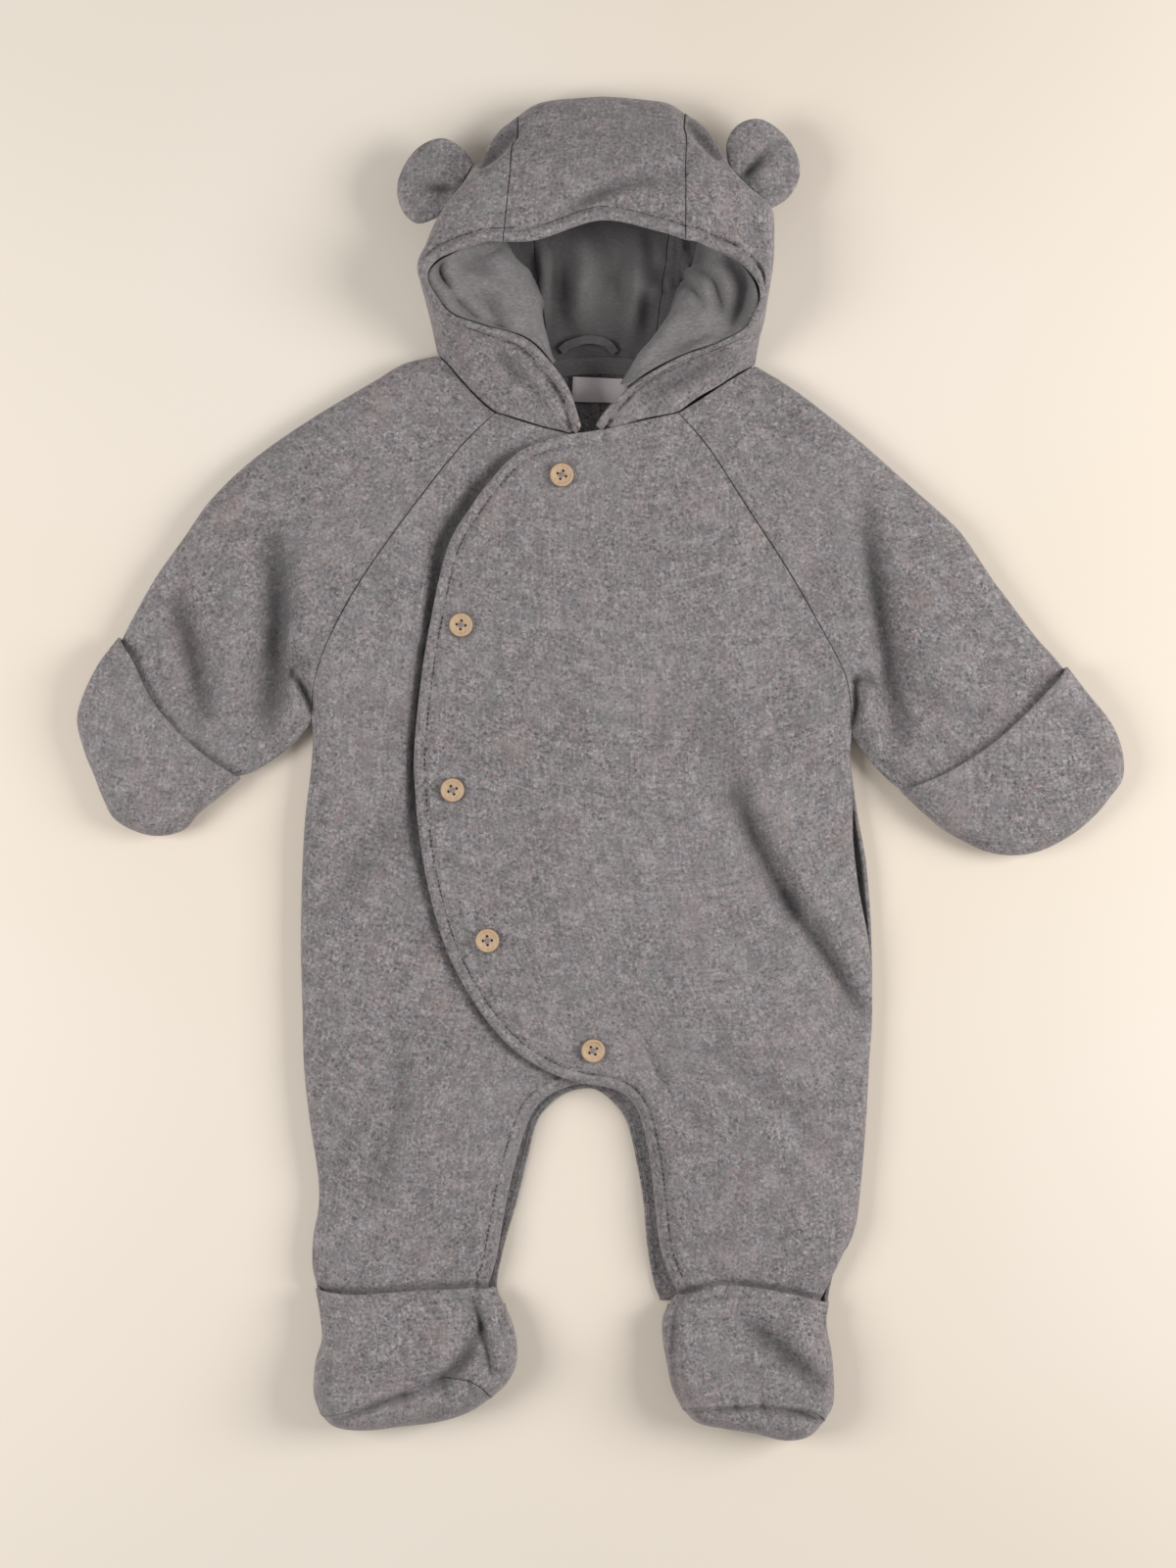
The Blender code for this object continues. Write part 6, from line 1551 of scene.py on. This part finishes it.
def make_ear(side, table):
    """Two faces over one plan grid, parted by the filling, which closes in a round at the rim."""
    across = np.linspace(0, 1, 56)
    base = ear_base(table["rows"][0] + (table["rows"][1] - table["rows"][0]) * across)
    rim = along(spline([tuple(base[0, :2])] + table["rim"] + [tuple(base[-1, :2])]),
                0.02 + 0.96 * across)
    rim = np.column_stack([rim, np.full(len(across), EAR_HEIGHT - EAR_DROOP)])
    out = 1 - (1 - np.linspace(0, 1, 40)) ** 1.5
    mid = base[:, None] * (1 - out[:, None]) + rim[:, None] * out[:, None]
    plan = mid[..., :2].reshape(-1, 2)
    bend = unevenness(plan, 12, 26, 0.6) - folded(plan, EAR_FOLDS)
    mid[..., 2] += bend.reshape(mid.shape[:2]) * np.clip(out * 6, 0, 1)
    half = EAR_THICK / 2 * np.sqrt(np.clip(1 - (np.maximum(out - 0.8, 0) / 0.2) ** 2, 0, 1))
    side_shape = np.sqrt(np.clip(1 - (np.abs(across * 2 - 1)) ** 8, 0, 1))
    puff = half[None, :] * np.maximum(side_shape[:, None], 0.35)
    up, down = mid.copy(), mid.copy()
    up[..., 2] += puff
    down[..., 2] -= puff
    ring = np.concatenate([up, down[:, -2::-1]], axis=1)
    rows, cols = ring.shape[:2]
    index = np.arange(rows * cols).reshape(rows, cols)
    wrap = np.column_stack([index, index[:, 0]])
    quads = cells(wrap).reshape(-1, 4)
    uv = ring[..., :2] * MM
    corner_uv = cells(np.concatenate([uv, uv[:, :1]], axis=1)).reshape(-1, 4, 2)
    flat = ring.reshape(-1, 3)
    way = np.cross(flat[quads[:, 2]] - flat[quads[:, 0]], flat[quads[:, 3]] - flat[quads[:, 1]])
    if way[quads[:, 0] % cols < len(out), 2].sum() < 0:
        quads, corner_uv = quads[:, ::-1], corner_uv[:, ::-1]
    # Painted shade in the ear's pleat and folds.
    return paint_fold_shade(put("ear_%s_wool" % side, flat, quads, corner_uv, wool, "ear_" + side),
                      EAR_FOLDS, full=6.0)


ear_right = make_ear("right", EAR_RIGHT)
ear_left = make_ear("left", EAR_LEFT)


# ---------------------------------------------------------------- inside the neck
# A jersey band over the hood's neck seam, a loop of the same to hang the suit by, and the back
# of a bare woven label. Each is a flat tape along a line of points.

BAND_LEVEL = WALL + LINING + 3 * SEAM + 1.4
LOOP_LEVEL = WALL + LINING + 3 * SEAM + 3
NECK_BAND = [(-37, 244.5, BAND_LEVEL), (-20, 246.5, BAND_LEVEL), (0, 247.5, BAND_LEVEL),
             (16, 247, BAND_LEVEL), (30, 245, BAND_LEVEL)]
HANGER_LOOP = [(-25, 256, LOOP_LEVEL), (-20, 260, LOOP_LEVEL + 1), (-8, 263, LOOP_LEVEL + 1.4),
               (3, 261, LOOP_LEVEL + 1), (9, 255, LOOP_LEVEL)]
NECK_LABEL = [(-0.5, 240.2, WALL + 3.0), (-0.8, 233, WALL + 3.8), (-1, 225, WALL + 2.0)]
NECK_BAND_WIDTH, LOOP_WIDTH = 10.5, 5
LABEL_WIDTH, LABEL_THICK = 34, 1.0


def strip(name, centre, width, thick, mat, node, slot):
    """A flat tape along a line of x, y, z points, its width lying level."""
    line = along(spline(centre), np.linspace(0, 1, 16 * len(centre)))
    step = np.gradient(line, axis=0)
    square = unit(np.column_stack([-step[:, 1], step[:, 0], np.zeros(len(line))]))
    grid = line[:, None] + square[:, None] * (np.linspace(-0.5, 0.5, 12) * width)[:, None]
    normal = np.cross(square, step)
    normal *= np.sign(normal[:, 2:]) / np.linalg.norm(normal, axis=1)[:, None]
    return cloth(name, [(grid, np.repeat(normal[:, None], 12, axis=1), False)], thick, mat, node,
                 slot=slot)


neck_band = strip("neck_band_jersey", NECK_BAND, NECK_BAND_WIDTH, LINING, jersey, "neck_band",
                  "jersey")
hanger_loop = strip("hanger_loop_jersey", HANGER_LOOP, LOOP_WIDTH, LINING, jersey, "hanger_loop",
                    "jersey")
satin, place, pale = finish("pale label tape", (0.86, 0.78, 0.80), 0.55)
feed(satin, Base_Color=pale.tint(place.stretched(0.1, 1).noise(900, 2).step(0.3, 0.7) * 0.3,
                                 (0.93, 0.86, 0.88)),
     height=place.stretched(0.2, 1).noise(900, 2) * 0.12)
neck_label = strip("neck_label_tape", NECK_LABEL, LABEL_WIDTH, LABEL_THICK, satin, "neck_label",
                   "satin")
# Painted shade: the band and the loop, low inside the neck, are darkened all over.
for tape, depth in ((neck_band, 0.6), (hanger_loop, 0.8)):
    set_painted_shade(tape, np.full(len(tape.data.vertices), depth))
